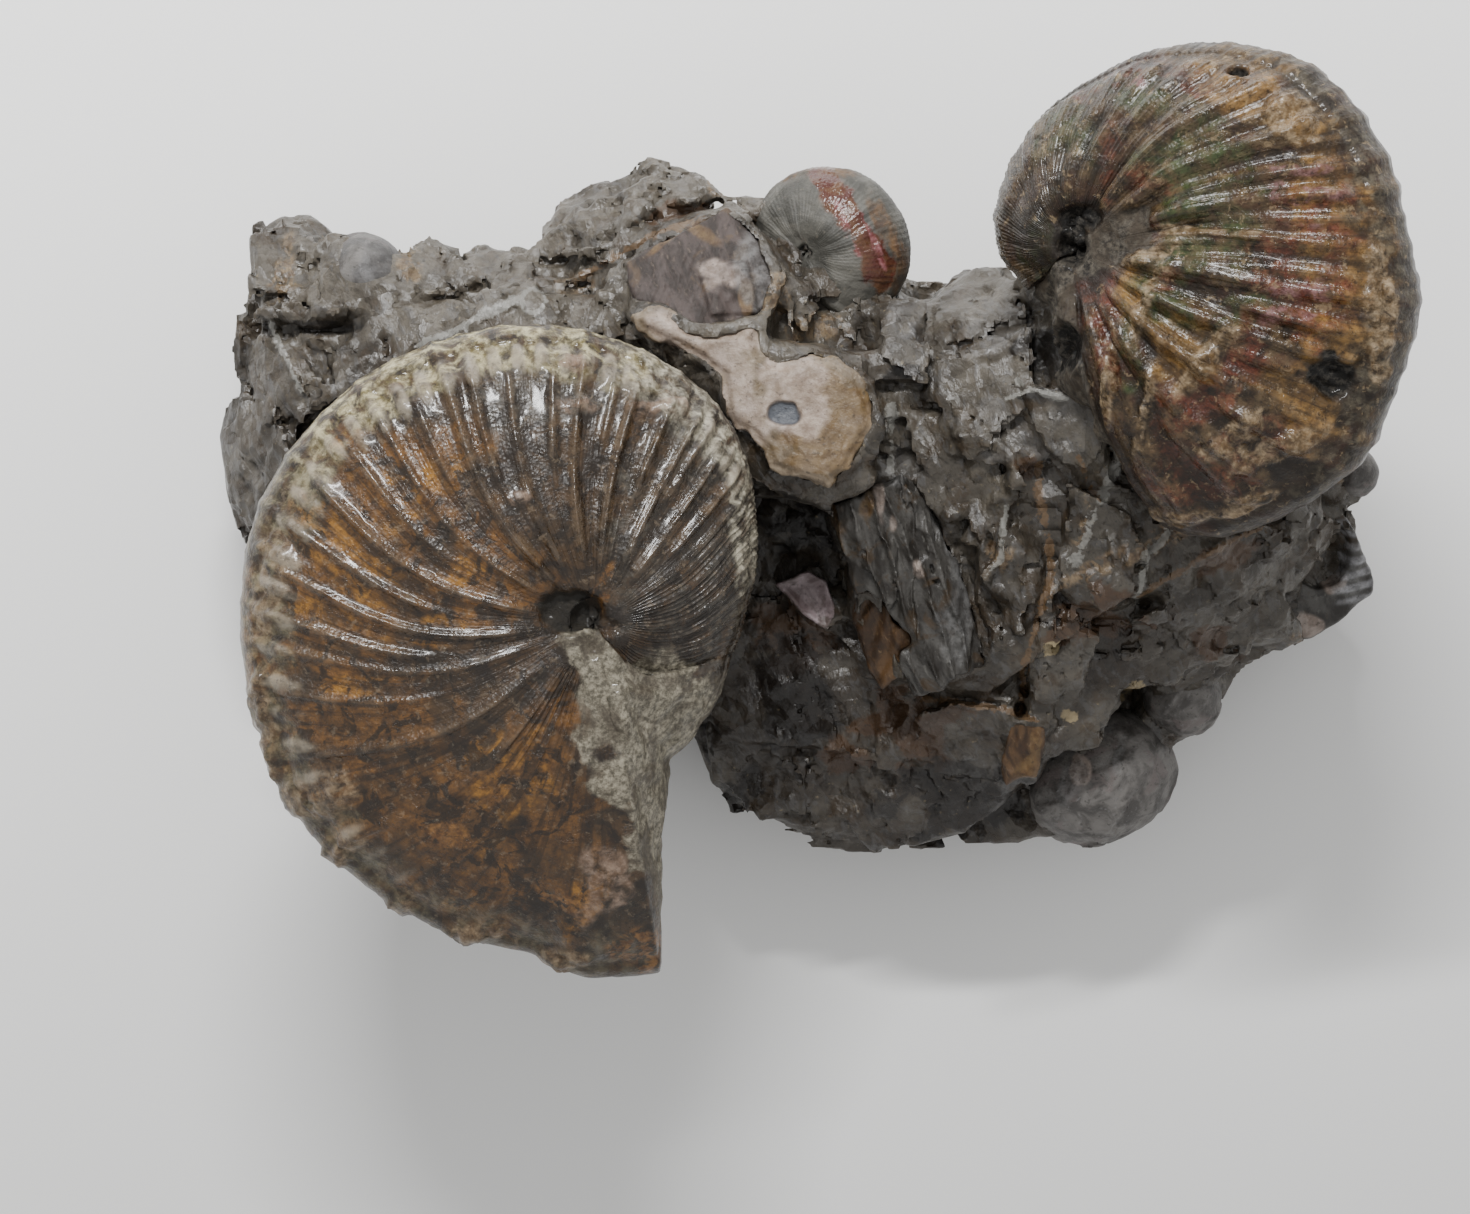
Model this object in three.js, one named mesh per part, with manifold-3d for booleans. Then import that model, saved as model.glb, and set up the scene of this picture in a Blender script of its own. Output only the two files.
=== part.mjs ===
// A loose block of dark marine rock that holds two complete scaphite ammonites, a third one partly
// buried, and broken pieces of clam and ammonite shell. It lies on its flat broken back.
// Millimetres, +Z up, away from the flat back. +X runs along the block's length, from the large
// ammonite to the upper one. The origin is on the flat back, under the middle of the block.

import * as THREE from "three";
import { ConvexGeometry } from "three/addons/geometries/ConvexGeometry.js";
import { mergeVertices } from "three/addons/utils/BufferGeometryUtils.js";
import Module from "manifold-3d";

const wasm = await Module();
wasm.setup();

// Driving dimensions
const GAP = 0.3; // clear space between a fossil and the rock round it
const RIB_RINGS = 2; // rings of points for each rib: one on its crest and one in its furrow
const SOCKET_RINGS = 18; // rings of points of the smooth hollow that a coiled shell leaves in the rock
const SOCKET_SAG = 0.4; // how far the flat faces of that hollow fall inside its round form
const MOUTH_WALL_DEGREES = 40; // growth angle past a mouth over which a shell narrows to its start
const BELLY_BELOW = 4; // a block whose foot is lower than this bulges between foot and top
const BELLY_RISE = 0.45; // the bulge's height, as a share of the block's
const BELLY_REACH = 0.75; // how far out it stands, from the foot's outline to the top's
const DEGREE = Math.PI / 180;

// Colours and finishes
const ROCK = { color: 0x5b554d, roughness: 0.75, metalness: 0 };
const AMBER_SHELL = { color: 0x6b4a26, roughness: 0.3, metalness: 0 };
const NACRE_SHELL = { color: 0x6a5a3a, roughness: 0.35, metalness: 0 };
const RED_NACRE = { color: 0x8a4a38, roughness: 0.35, metalness: 0 };
const CREAM_SHELL = { color: 0xb39c80, roughness: 0.55, metalness: 0 };
const PURPLE_SHELL = { color: 0x6a5750, roughness: 0.5, metalness: 0 };
const BLUE_GREY_SHELL = { color: 0x5f625f, roughness: 0.45, metalness: 0 };
const BROWN_SHELL = { color: 0x6b4c2c, roughness: 0.5, metalness: 0 };
const PINK_SHELL = { color: 0x8c7c78, roughness: 0.35, metalness: 0 };
const SMOOTH_MOULD = { color: 0x4c4a4c, roughness: 0.4, metalness: 0 };

// The large ammonite in front. Its coil opens counterclockwise seen from +Z.
const LARGE = {
  centre: [-16.4, -6.9, 31.0],
  tiltX: 7,
  tiltY: 3,
  coil: 1,
  startDegrees: -50,
  // growth angle in degrees, radius in millimetres from the umbilicus to the outer edge
  radii: [
    [0, 10.4], [24, 11.1], [40, 12.1], [61, 13.3], [75, 14.1], [107, 16.7], [143, 19.5], [185, 22.2],
    [220, 24.2], [257, 25.0], [299, 25.3], [311, 25.0], [321, 26.5], [331, 26.5], [334, 20.0], [338, 15.5],
    [343, 11.6], [352, 10.8], [360, 10.4],
  ],
  mouthDegrees: 331,
  ribs: 27,
  // how far round a rib's outer end lies from its inner one, at each growth angle
  flexDegrees: [
    [0, 34], [50, 22], [90, 4], [150, -8], [230, -15], [290, -12], [315, -2], [335, 0], [360, 34],
  ],
  halfWidth: [5.6, 9.2], // at the start and at the mouth
  umbilicusHalfWidth: 8.2,
  ribHeight: 0.5,
  ribFadeDegrees: [262, 325],
};

// The upper ammonite on the right. Its coil opens clockwise seen from +Z.
const UPPER = {
  centre: [20.2, 19.0, 32.5],
  tiltX: 6,
  tiltY: -28,
  coil: -1,
  startDegrees: 215,
  radii: [
    [0, 6.2], [33, 8.0], [80, 9.4], [110, 11.6], [138, 15.2], [168, 19.8], [201, 22.2], [236, 23.6],
    [255, 24.2], [274, 23.0], [291, 20.6], [296, 16.0], [303, 12.2], [322, 10.4], [342, 6.4], [360, 6.2],
  ],
  mouthDegrees: 291,
  ribs: 26,
  flexDegrees: [[0, 4], [90, 8], [150, 10], [200, 6], [250, -4], [290, 0], [360, 4]],
  halfWidth: [4.6, 8.6],
  umbilicusHalfWidth: 7.2,
  ribHeight: 0.5,
  ribFadeDegrees: [296, 330],
};

// The third ammonite, buried to its outer edge on the top side of the block.
const TOP = {
  centre: [0.2, 19.4, 20.4],
  tiltX: 10,
  tiltY: -24,
  coil: -1,
  startDegrees: 250,
  radii: [[0, 4.7], [90, 5.6], [180, 6.1], [270, 6.5], [310, 6.6], [335, 4.9], [360, 4.7]],
  mouthDegrees: 310,
  ribs: 10,
  flexDegrees: [[0, 0], [180, -6], [320, -6], [360, 0]],
  halfWidth: [3.0, 4.2],
  umbilicusHalfWidth: 3.6,
  ribHeight: 0.1,
  ribFadeDegrees: [300, 330],
};

const FURROW_DEPTH = 0.4; // depth of a furrow, as a share of a rib's height
const FLEX_REACH = [0.3, 1]; // shares of the radius between which a rib bends to its full flex
const UMBILICUS_REACH = [0.1, 0.6]; // and between which the width passes to the whorl's own

// A shell's cross-section from the umbilicus over the flank to the outer edge:
// share of the radius, share of the half width, and how strongly the ribs stand there.
const SECTION = [
  [0.0, 0.5, 0.0],
  [0.1, 0.6, 0.1],
  [0.2, 0.94, 0.5],
  [0.42, 0.99, 1.0],
  [0.64, 0.86, 1.0],
  [0.82, 0.63, 1.0],
  [0.95, 0.32, 1.0],
  [1.0, 0.0, 0.9],
];

// The rock, as blocks laid over each other. Each is the convex body of its top corners (x, y, z),
// with a belly below them and a smaller foot at the height `foot`.
const ROCK_BLOCKS = {
  upperLeftKnob: {
    foot: 5,
    footShare: 0.86,
    top: [
      [-41.5, 16, 18], [-41.5, 18.5, 16], [-41.5, 21.5, 15], [-40, 22.5, 15], [-38, 22.5, 16],
      [-36, 21, 17], [-34.5, 18.5, 19], [-34.5, 15.5, 20], [-38, 15, 20],
    ],
  },
  leftShelf: {
    foot: 8,
    footShare: 0.9,
    top: [
      [-41, 15.5, 18.5], [-34.5, 15, 21.5], [-34, 13.5, 21.5], [-38, 13, 20.5], [-41, 14, 18.5],
      [-42, 14.5, 17],
    ],
  },
  leftLobeUpper: {
    foot: 3,
    footShare: 0.86,
    top: [
      [-43, 14.5, 14], [-41, 13.5, 18], [-38, 12.5, 20], [-35, 8.5, 22], [-37.5, 6.5, 21],
      [-41.5, 8.5, 16], [-43.5, 11, 13],
    ],
  },
  leftLobeLower: {
    foot: 2,
    footShare: 0.84,
    top: [
      [-43.5, 9, 13], [-41.5, 9, 16], [-39, 6.5, 20], [-38, 3.5, 21], [-40, -0.5, 19], [-42.5, -1.5, 15],
      [-43.5, 2, 12], [-44, 6, 12],
    ],
  },
  lumps: {
    foot: 8,
    footShare: 0.86,
    top: [
      [-30, 20, 18], [-28.5, 20.5, 18], [-26.5, 20, 19], [-26, 16.5, 22], [-28.5, 15.5, 22],
      [-30, 16.5, 21],
    ],
  },
  lumpsRight: {
    foot: 8,
    footShare: 0.88,
    top: [
      [-26.5, 19.5, 18], [-25, 20, 18], [-22, 20, 19], [-20.5, 19.5, 20], [-20.5, 16.5, 23.5],
      [-23, 15.5, 23], [-26, 16.5, 22],
    ],
  },
  shelfBehind: {
    foot: 8,
    footShare: 0.84,
    top: [
      [-34.5, 14, 21], [-34, 15.5, 20.5], [-30, 16.5, 21.5], [-21, 16, 24.5], [-16, 15.5, 26.5],
      [-12.5, 12.5, 27.5], [-19, 11.5, 26], [-24.5, 11, 25], [-29, 9, 24], [-33.5, 7, 22.5],
      [-35.5, 8.5, 21.5],
    ],
  },
  peakBlock: {
    foot: 5,
    footShare: 0.86,
    top: [
      [-20, 18.5, 21], [-20, 21, 17], [-19, 23, 16], [-16, 24.5, 16], [-12.5, 26, 16.5], [-10, 25.5, 17.5],
      [-6.5, 23, 22], [-7, 20, 22.5], [-8.5, 22.5, 24], [-12.5, 21.5, 24.5], [-16, 20.5, 24],
      [-15.5, 18.5, 23],
    ],
  },
  striatedBlock: {
    foot: 12,
    footShare: 0.9,
    top: [
      [-14.5, 18, 24.5], [-11.5, 20, 24.5], [-6.5, 22.5, 23], [-4.5, 20, 25.5], [-3, 17, 28],
      [-4.5, 13.5, 29], [-8.5, 12, 29], [-13.5, 13.5, 27.5], [-16, 15.5, 26],
    ],
  },
  topShoulder: {
    foot: 8,
    footShare: 0.86,
    top: [
      [-6, 23.5, 19], [-4.5, 23.5, 18], [-3, 22.5, 19], [1, 16.5, 24], [-1.5, 13, 27], [-3.5, 16, 27],
      [-5, 20, 25],
    ],
  },
  creamBlock: {
    foot: 19,
    footShare: 0.84,
    top: [
      [-13.5, 13.5, 28], [-8.5, 12.5, 29.5], [-4.5, 12.5, 29.5], [3, 11.5, 28.5], [3.5, 9, 29.5],
      [4, 4.5, 30], [4, 2.5, 29.5], [3, 1, 28.5], [1, 0.5, 28], [-1.5, 1, 28.5], [-5, 2.5, 28.5],
      [-6, 6, 29.5], [-9, 10, 29], [-12.5, 12, 28],
    ],
  },
  creamRoot: {
    foot: 8,
    footShare: 0.9,
    top: [
      [-13, 15.5, 24], [-3, 17, 24], [3, 13.5, 24], [3, 5.5, 24], [0, 3.5, 23], [-4.5, 4.5, 23],
      [-9.5, 10, 24],
    ],
  },
  smallBlockFront: {
    foot: 20,
    footShare: 0.84,
    top: [
      [4, 12, 27], [4.5, 13, 27], [7, 13, 27], [8, 12, 28], [8, 11, 28.5], [7.5, 9.5, 28.5], [5.5, 10, 28],
      [4, 11, 27.5],
    ],
  },
  smallBlockBack: {
    foot: 12,
    footShare: 0.88,
    top: [
      [2, 16, 23], [4.5, 17, 23], [6, 16.5, 24], [7.5, 15.5, 25], [7.5, 13, 26.5], [5, 12.5, 26.5],
      [3, 14, 26],
    ],
  },
  neck: {
    foot: 5,
    footShare: 0.84,
    top: [
      [7, 15.5, 23], [9, 17, 21], [11, 18.5, 20.5], [13.5, 18.5, 21], [14.5, 16, 25], [15, 14, 27],
      [11.5, 12.5, 27.5], [8.5, 11.5, 27.5], [6.5, 13, 26],
    ],
  },
  plateUpper: {
    foot: 12,
    footShare: 0.86,
    top: [
      [7.5, 11, 27], [11.5, 12.5, 28.5], [15, 13.5, 29.5], [15, 9, 30.5], [13.5, 5.5, 30], [10, 7, 28],
      [6.5, 8, 26.5],
    ],
  },
  plateLower: {
    foot: 10,
    footShare: 0.86,
    top: [
      [5.5, 8, 26], [10, 8, 28], [13.5, 5.5, 30], [15.5, 1, 29.5], [13.5, -3, 28.5], [10, -2, 27],
      [6.5, 2.5, 26],
    ],
  },
  smoothPlate: {
    foot: 18,
    footShare: 0.88,
    top: [
      [14, 8.5, 31], [17, 9, 31.5], [19.5, 8, 32], [20.5, 6.5, 32], [20, 3.5, 31], [18, 2, 30.5],
      [15.5, 4.5, 30.5],
    ],
  },
  middleMass: {
    foot: 8,
    footShare: 0.86,
    top: [
      [0.5, 6, 24], [8.5, 7, 25], [17, 7, 27], [18, -3, 27], [15.5, -9.5, 25], [12, -12.5, 21.5],
      [8, -12, 20.5], [4.5, -9, 18.5], [2, -3, 19], [0.5, 1, 21],
    ],
  },
  crackedPlate: {
    foot: 14,
    footShare: 0.9,
    top: [
      [12, -0.5, 28.5], [15, 1, 29], [15.5, -2, 29], [15.5, -5.5, 28], [15, -9, 26.5], [12.5, -9.5, 25.5],
      [11, -5.5, 26.5],
    ],
  },
  plateRightOfCrack: {
    foot: 14,
    footShare: 0.88,
    top: [
      [16, 4.5, 30], [19.5, 3, 30.5], [23.5, 1, 29.5], [24, -3, 28.5], [20.5, -7, 27], [17, -9, 25.5],
      [16.5, -5.5, 27.5], [16.5, -1, 29],
    ],
  },
  recessFloor: {
    foot: 4,
    footShare: 0.86,
    top: [
      [-9, -3, 15], [-5, 3.5, 18], [2, 2, 18.5], [3.5, -6, 18], [1.5, -12, 16.5], [-3.5, -12.5, 15.5],
      [-8, -12.5, 13], [-9, -9, 13],
    ],
  },
  lowerMiddle: {
    foot: 1,
    footShare: 0.84,
    top: [
      [-5.5, -6, 16.5], [0.5, -5.5, 18], [5, -9, 19.5], [12, -13, 21], [16, -13.5, 21], [17, -16.5, 19],
      [14.5, -20, 16], [10.5, -23, 13.5], [4.5, -24.5, 11.5], [-1.5, -23.5, 11.5], [-5.5, -22, 11.5],
      [-7.5, -19.5, 11], [-8, -15.5, 12.5], [-7.5, -11, 15],
    ],
  },
  lowerLedge: {
    foot: 10,
    footShare: 0.88,
    top: [
      [7.5, -14, 20.5], [14, -14, 21], [14.5, -16.5, 19.5], [13.5, -19, 17.5], [9, -19, 17],
      [7, -16.5, 18],
    ],
  },
  lowerPlate: {
    foot: 6,
    footShare: 0.88,
    top: [
      [15, -10, 23.5], [20, -10, 23], [22, -13.5, 20.5], [20, -16.5, 18.5], [17, -17, 18.5],
      [15, -14.5, 20],
    ],
  },
  purpleLedge: {
    foot: 8,
    footShare: 0.88,
    top: [
      [16.5, -9, 24.5], [23.5, -8.5, 24], [32.5, -9.5, 18], [30.5, -11, 17], [25, -11.5, 19],
      [19.5, -13, 21], [16, -13, 22],
    ],
  },
  brownBlock: {
    foot: 7,
    footShare: 0.86,
    top: [
      [23.5, 1, 28.5], [25.5, -1, 28], [30, -2, 26.5], [34.5, -1, 24.5], [37, 1, 22], [38.5, -1, 18.5],
      [35, -5.5, 19], [30.5, -6, 22.5], [23.5, -7.5, 25], [20, -6, 26.5], [17.5, -3, 28],
    ],
  },
  greenBlock: {
    foot: 5,
    footShare: 0.86,
    top: [
      [21.5, -7, 25], [27.5, -4.5, 25], [34, -5.5, 20], [35.5, -9, 15.5], [32.5, -10, 16.5],
      [26, -10.5, 20.5], [21, -10, 23],
    ],
  },
  shellSupport: {
    foot: 6,
    footShare: 0.84,
    top: [
      [13.5, 16.5, 24], [17.5, 22, 23.5], [21, 25.5, 23], [27.5, 26, 25], [33.5, 20.5, 27.5],
      [36.5, 13.5, 28], [38, 6, 24.5], [37.5, 1.5, 21], [30, -0.5, 26], [23.5, 1, 28.5], [17, 8, 29.5],
    ],
  },
  pegSupport: {
    foot: 8,
    footShare: 0.9,
    top: [
      [35, 5.5, 19], [38.5, 5, 17.5], [39, 3.5, 17], [39, 1.5, 16.5], [36.5, 1, 19], [34, 2.5, 20],
    ],
  },
  shellSeat: {
    foot: 8,
    footShare: 0.84,
    top: [
      [-32, -0.5, 22.5], [-29, 7, 24.5], [-21.5, 10.5, 26], [-13, 12, 27.5], [-6, 7, 27.5],
      [-5.5, -0.5, 25.5], [-6, -7.5, 23], [-9.5, -13, 20], [-19, -15, 20], [-28.5, -9.5, 21.5],
    ],
  },
  underShell: {
    foot: 3,
    footShare: 0.84,
    top: [
      [-38.5, -1, 21], [-38, -8, 21.5], [-34.5, -14.5, 21], [-28.5, -19, 20.5], [-21, -21.5, 20],
      [-14.5, -20.5, 19], [-13, -15.5, 19.5], [-9.5, -11, 20], [-20, 2, 22],
    ],
  },
  baseLeft: {
    foot: 0,
    footShare: 0.86,
    top: [
      [-42.5, 18, 11], [-36, 18.5, 12], [-20.5, 18.5, 12], [-13, 20.5, 12], [-4.5, 20.5, 12],
      [10.5, 7.5, 12], [8.5, -6, 11], [-7.5, -13, 10], [-14.5, -18, 9.5], [-25, -18.5, 9], [-35, -13, 8.5],
      [-41, -5, 8], [-43.5, 6, 9],
    ],
  },
  baseRight: {
    foot: 0,
    footShare: 0.84,
    top: [
      [-16, 20, 12], [-6, 19, 12], [8.5, 16, 12], [28.5, 14.5, 12], [36.5, 11.5, 12.5], [38.5, 3.5, 12.5],
      [37, -5.5, 12], [31.5, -9, 11], [26, -16, 10.5], [20, -21, 10], [14.5, -24, 9.5], [1, -24.5, 9],
      [-6.5, -22, 8.5], [-8.5, -17, 8.5], [-13.5, -3, 10],
    ],
  },
  baseBack: {
    foot: 0,
    footShare: 0.84,
    top: [
      [14, 11, 12], [16, 18.5, 12], [19.5, 22, 12], [26.5, 24, 12.5], [33.5, 19.5, 13], [37.5, 12, 13],
      [37, 4, 12.5], [20, 3, 12],
    ],
  },
  rightSkirt: {
    foot: 4,
    footShare: 0.9,
    top: [
      [34.5, -6, 13], [36, 1, 15], [39, 0, 14], [39.5, -3, 13], [37, -6, 12], [35, -7.5, 12],
    ],
  },
};

// Shell pieces that lie on the rock as curved or flat plates: outline (x, y) and, for each plate,
// the height at its middle, its slopes along x and y, and its thickness.
const CREAM_CLAM = {
  outline: [
    [-13.2, 14.2], [-12.2, 14.5], [-11, 14.2], [-9.8, 13.1], [-8.7, 12.2], [-6.2, 12.4], [-5, 13.4], [-4.4, 13.4],
    [-4.8, 12.4], [-4.4, 11.5], [-3, 10.6], [-0.7, 11.2], [1.1, 10.5], [2.5, 8.8], [3.4, 6.2], [2.5, 5.1], [2, 3.7],
    [1.1, 2.4], [-0.7, 2.1], [-2.6, 3], [-4.1, 4.2], [-4.8, 5.6], [-6.2, 6.7], [-6.8, 8.1], [-7.1, 9.8],
    [-8.7, 11.5], [-10, 12.2], [-11.7, 12.9], [-13, 13.4],
  ],
  height: 30.4,
  slopeX: 0.04,
  slopeY: -0.05,
  thickness: 2.2,
};
const CREAM_CLAM_HOLE = { centre: [-2.8, 7.3], radius: 1.1, depth: 9, sides: 14 };
const STRIATED_SHELL = {
  outline: [
    [-14.1, 18], [-11.4, 19.6], [-6.9, 22.2], [-4.4, 19.6], [-3.3, 16.8], [-4.4, 14.2], [-8, 13.2], [-9.3, 13.4],
    [-11.4, 14.9], [-13.3, 15.2], [-13.9, 16.8],
  ],
  height: 27.8,
  slopeX: 0.1,
  slopeY: -0.46,
  thickness: 2.6,
};
const BROWN_STRIP = {
  outline: [
    [2.6, -5.6], [3.3, -5.4], [4.5, -6.2], [5.2, -7.5], [6.3, -8.5], [6.6, -9.3], [5.8, -9.9], [5.6, -11.7],
    [4.5, -12.5], [3.5, -11.3], [2.9, -9.1], [2.3, -7.2],
  ],
  height: 22.6,
  slopeX: 0.5,
  slopeY: 0.3,
  thickness: 2.8,
};
const PINK_CHIP = {
  outline: [[-3.3, -4.9], [-0.9, -4], [0.4, -4.7], [1.3, -7.2], [0.4, -8.3], [-1.2, -7.2], [-2.5, -5.7]],
  height: 19.6,
  slopeX: 0.14,
  slopeY: 0.16,
  thickness: 2.6,
};
const AMBER_CHIP = {
  outline: [[14, -15], [14.9, -14.8], [16.3, -15.6], [16.1, -17], [15.3, -18.8], [13.6, -19.5], [13.2, -17]],
  height: 20.6,
  slopeX: -0.1,
  slopeY: 0.36,
  thickness: 3.4,
};

// The blue-grey fragment of a ribbed shell: a length of ribbed surface between two ends.
const RIBBED_FRAGMENT = {
  start: [3.5, 1.9, 26.4],
  end: [9.4, -12.0, 23.0],
  halfWidth: 3.7,
  widthShares: [0.79, 0.91, 0.98, 1, 0.96, 0.87, 0.74], // from start to end
  underside: 0.7, // its width as a share of the upper side's
  thickness: 4.8,
  ribs: 4,
  ribHeight: 0.5,
  crown: 1.3,
};

// Smooth rounded moulds of clams: centre, half axes and the turn about Z.
const MOULD_SIDES = 10;
const MOULD_RINGS = 7;
const CLAM_MOULDS = {
  smooth_clam_mould: { centre: [-33.1, 17.2, 16.6], axes: [3.0, 3.7, 4.9], turn: 20 },
  dark_clam_mould: { centre: [21.0, -19.2, 9.4], axes: [5.8, 4.8, 5.9], turn: 35 },
  small_clam_mould: { centre: [27.0, -13.2, 11.4], axes: [2.9, 3.0, 3.4], turn: 0 },
  round_shell_stub: { centre: [39.4, 3.3, 16.4], axes: [1.5, 1.8, 1.8], turn: 0 },
};

// The broken whorl at the right end, with the hollow where its chamber was.
const BROKEN_WHORL = {
  foot: 7,
  footShare: 0.8,
  clearance: 0.4, // space round its sides, a little more than the gap because they slope
  top: [
    [33.4, -2.2, 16.2], [35.4, -0.2, 16.8], [37.4, 1.5, 16.8], [39.2, -0.6, 15.8], [41.4, -4.4, 14.0],
    [41.4, -5.5, 13.4], [38.6, -8.1, 12.6], [37.1, -9.1, 12.4], [35.2, -9.2, 12.6], [33.2, -6.6, 14.0],
  ],
  hollow: { centre: [37.0, -2.6, 16.2], axes: [1.9, 2.5, 4.2] },
};

// A closed three.js mesh as a manifold-3d solid.
function toSolid(geometry) {
  const bare = geometry.clone();
  bare.deleteAttribute("normal");
  bare.deleteAttribute("uv");
  const merged = mergeVertices(bare, 1e-4);
  return new wasm.Manifold(
    new wasm.Mesh({
      numProp: 3,
      vertProperties: merged.attributes.position.array,
      triVerts: new Uint32Array(merged.index.array),
    }),
  );
}

// A manifold-3d solid as a three.js mesh.
function toGeometry(solid) {
  const mesh = solid.getMesh();
  const geometry = new THREE.BufferGeometry();
  geometry.setAttribute("position", new THREE.BufferAttribute(mesh.vertProperties, 3));
  geometry.setIndex(new THREE.BufferAttribute(mesh.triVerts, 1));
  geometry.computeVertexNormals();
  return geometry;
}

// The biggest of a solid's separate bodies, without slivers that a cut leaves.
function largestBody(solid) {
  return solid.decompose().reduce((most, body) => (body.volume() > most.volume() ? body : most));
}

// The value at x of a line through (x, y) points.
function along(points, x) {
  const last = points.length - 1;
  let k = 1;
  while (k < last && x > points[k][0]) k += 1;
  const [x0, y0] = points[k - 1];
  const [x1, y1] = points[k];
  const share = THREE.MathUtils.clamp((x - x0) / (x1 - x0), 0, 1);
  return y0 + (y1 - y0) * share;
}

// One coiled shell about its own umbilicus, in its own plane. Each ring of points follows one rib
// or one furrow from pole to pole, bent by the flex. Past the mouth the radius drops to the older
// whorl, so the rings there are the wall that closes the living chamber.
function scaphiteGeometry(shell, { ribs, ribHeight } = shell, grow = 0) {
  const { lerp, clamp, smoothstep } = THREE.MathUtils;
  const mouth = shell.mouthDegrees;
  const section = [...SECTION, ...SECTION.slice(0, -1).reverse().map(([r, w, s]) => [r, -w, s])];
  const inner = section.slice(1, -1);
  const count = ribs * RIB_RINGS;
  const steps = Array.from({ length: count }, (_, i) => (mouth * i) / (count - 1));
  const wall = shell.radii.slice(0, -1).map(([growth]) => growth).filter((growth) => growth > mouth);
  const turns = [...steps, ...wall];
  const rings = turns.length;
  const points = [];
  for (let i = 0; i < rings; i += 1) {
    const growth = turns[i];
    const fade = 1 - smoothstep(growth, ...shell.ribFadeDegrees);
    const rib = (i % RIB_RINGS === 0 ? 1 : -FURROW_DEPTH) * ribHeight * fade;
    const age = growth < mouth ? growth / mouth : 1 - (growth - mouth) / MOUTH_WALL_DEGREES;
    const halfWidth = lerp(...shell.halfWidth, clamp(age, 0, 1));
    for (const [reach, width, stand] of inner) {
      const at = growth + along(shell.flexDegrees, growth) * smoothstep(reach, ...FLEX_REACH);
      const angle = (shell.startDegrees + shell.coil * at) * DEGREE;
      const mixed = lerp(shell.umbilicusHalfWidth, halfWidth, smoothstep(reach, ...UMBILICUS_REACH));
      const radius = reach * (along(shell.radii, growth) + grow) + rib * stand * reach;
      const rise = width * (mixed + grow) + Math.sign(width) * rib * stand * (1 - reach);
      points.push(radius * Math.cos(angle), radius * Math.sin(angle), rise);
    }
  }
  const poleHeight = SECTION[0][1] * (shell.umbilicusHalfWidth + grow);
  const frontPole = points.length / 3;
  points.push(0, 0, poleHeight, 0, 0, -poleHeight);
  const backPole = frontPole + 1;
  const across = inner.length;
  const faces = [];
  for (let i = 0; i < rings; i += 1) {
    const here = i * across;
    const next = ((i + 1) % rings) * across;
    faces.push([frontPole, here, next], [backPole, next + across - 1, here + across - 1]);
    for (let j = 0; j < across - 1; j += 1) {
      faces.push([here + j, here + j + 1, next + j + 1], [here + j, next + j + 1, next + j]);
    }
  }
  const outward = shell.coil > 0 ? faces : faces.map(([a, b, c]) => [a, c, b]);
  const geometry = new THREE.BufferGeometry();
  geometry.setAttribute("position", new THREE.Float32BufferAttribute(points, 3));
  geometry.setIndex(outward.flat());
  return geometry;
}

// A shell's place in the block.
function placeOf(shell) {
  const turned = new THREE.Euler(shell.tiltX * DEGREE, shell.tiltY * DEGREE, 0);
  return new THREE.Matrix4().makeRotationFromEuler(turned).setPosition(...shell.centre);
}

// The space that a coiled shell takes in the rock, with the gap round it.
function scaphiteSocket(shell) {
  const smooth = { ribs: SOCKET_RINGS / RIB_RINGS, ribHeight: 0 };
  const clearance = GAP + shell.ribHeight + SOCKET_SAG;
  return toSolid(scaphiteGeometry(shell, smooth, clearance).applyMatrix4(placeOf(shell)));
}

// Corners moved from their middle to a share of their distance, at one height.
function ringAt(corners, share, height) {
  const middle = corners.reduce((sum, [x, y]) => sum.add(new THREE.Vector2(x, y)), new THREE.Vector2());
  middle.divideScalar(corners.length);
  return corners.map(([x, y]) => {
    const spot = new THREE.Vector2(x, y).sub(middle).multiplyScalar(share).add(middle);
    return new THREE.Vector3(spot.x, spot.y, height);
  });
}

// One block of rock: top corners, a belly under the low blocks' edge, and a foot.
function rockBlock({ top, foot, footShare }) {
  const lowest = Math.min(...top.map((corner) => corner[2]));
  const bellyHeight = foot + (lowest - foot) * BELLY_RISE;
  const bellyShare = THREE.MathUtils.lerp(footShare, 1, BELLY_REACH);
  const belly = foot < BELLY_BELOW ? ringAt(top, bellyShare, bellyHeight) : [];
  return toSolid(
    new ConvexGeometry([
      ...top.map((corner) => new THREE.Vector3(...corner)),
      ...belly,
      ...ringAt(top, footShare, foot),
    ]),
  );
}

// An ellipsoid with flat faces, for a rounded mould or a hollow.
function ellipsoid({ centre, axes, turn = 0 }, grow = 0) {
  const geometry = new THREE.SphereGeometry(1, MOULD_SIDES, MOULD_RINGS);
  geometry.scale(...axes.map((axis) => axis + grow));
  geometry.rotateZ(turn * DEGREE);
  return toSolid(geometry.translate(...centre));
}

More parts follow.
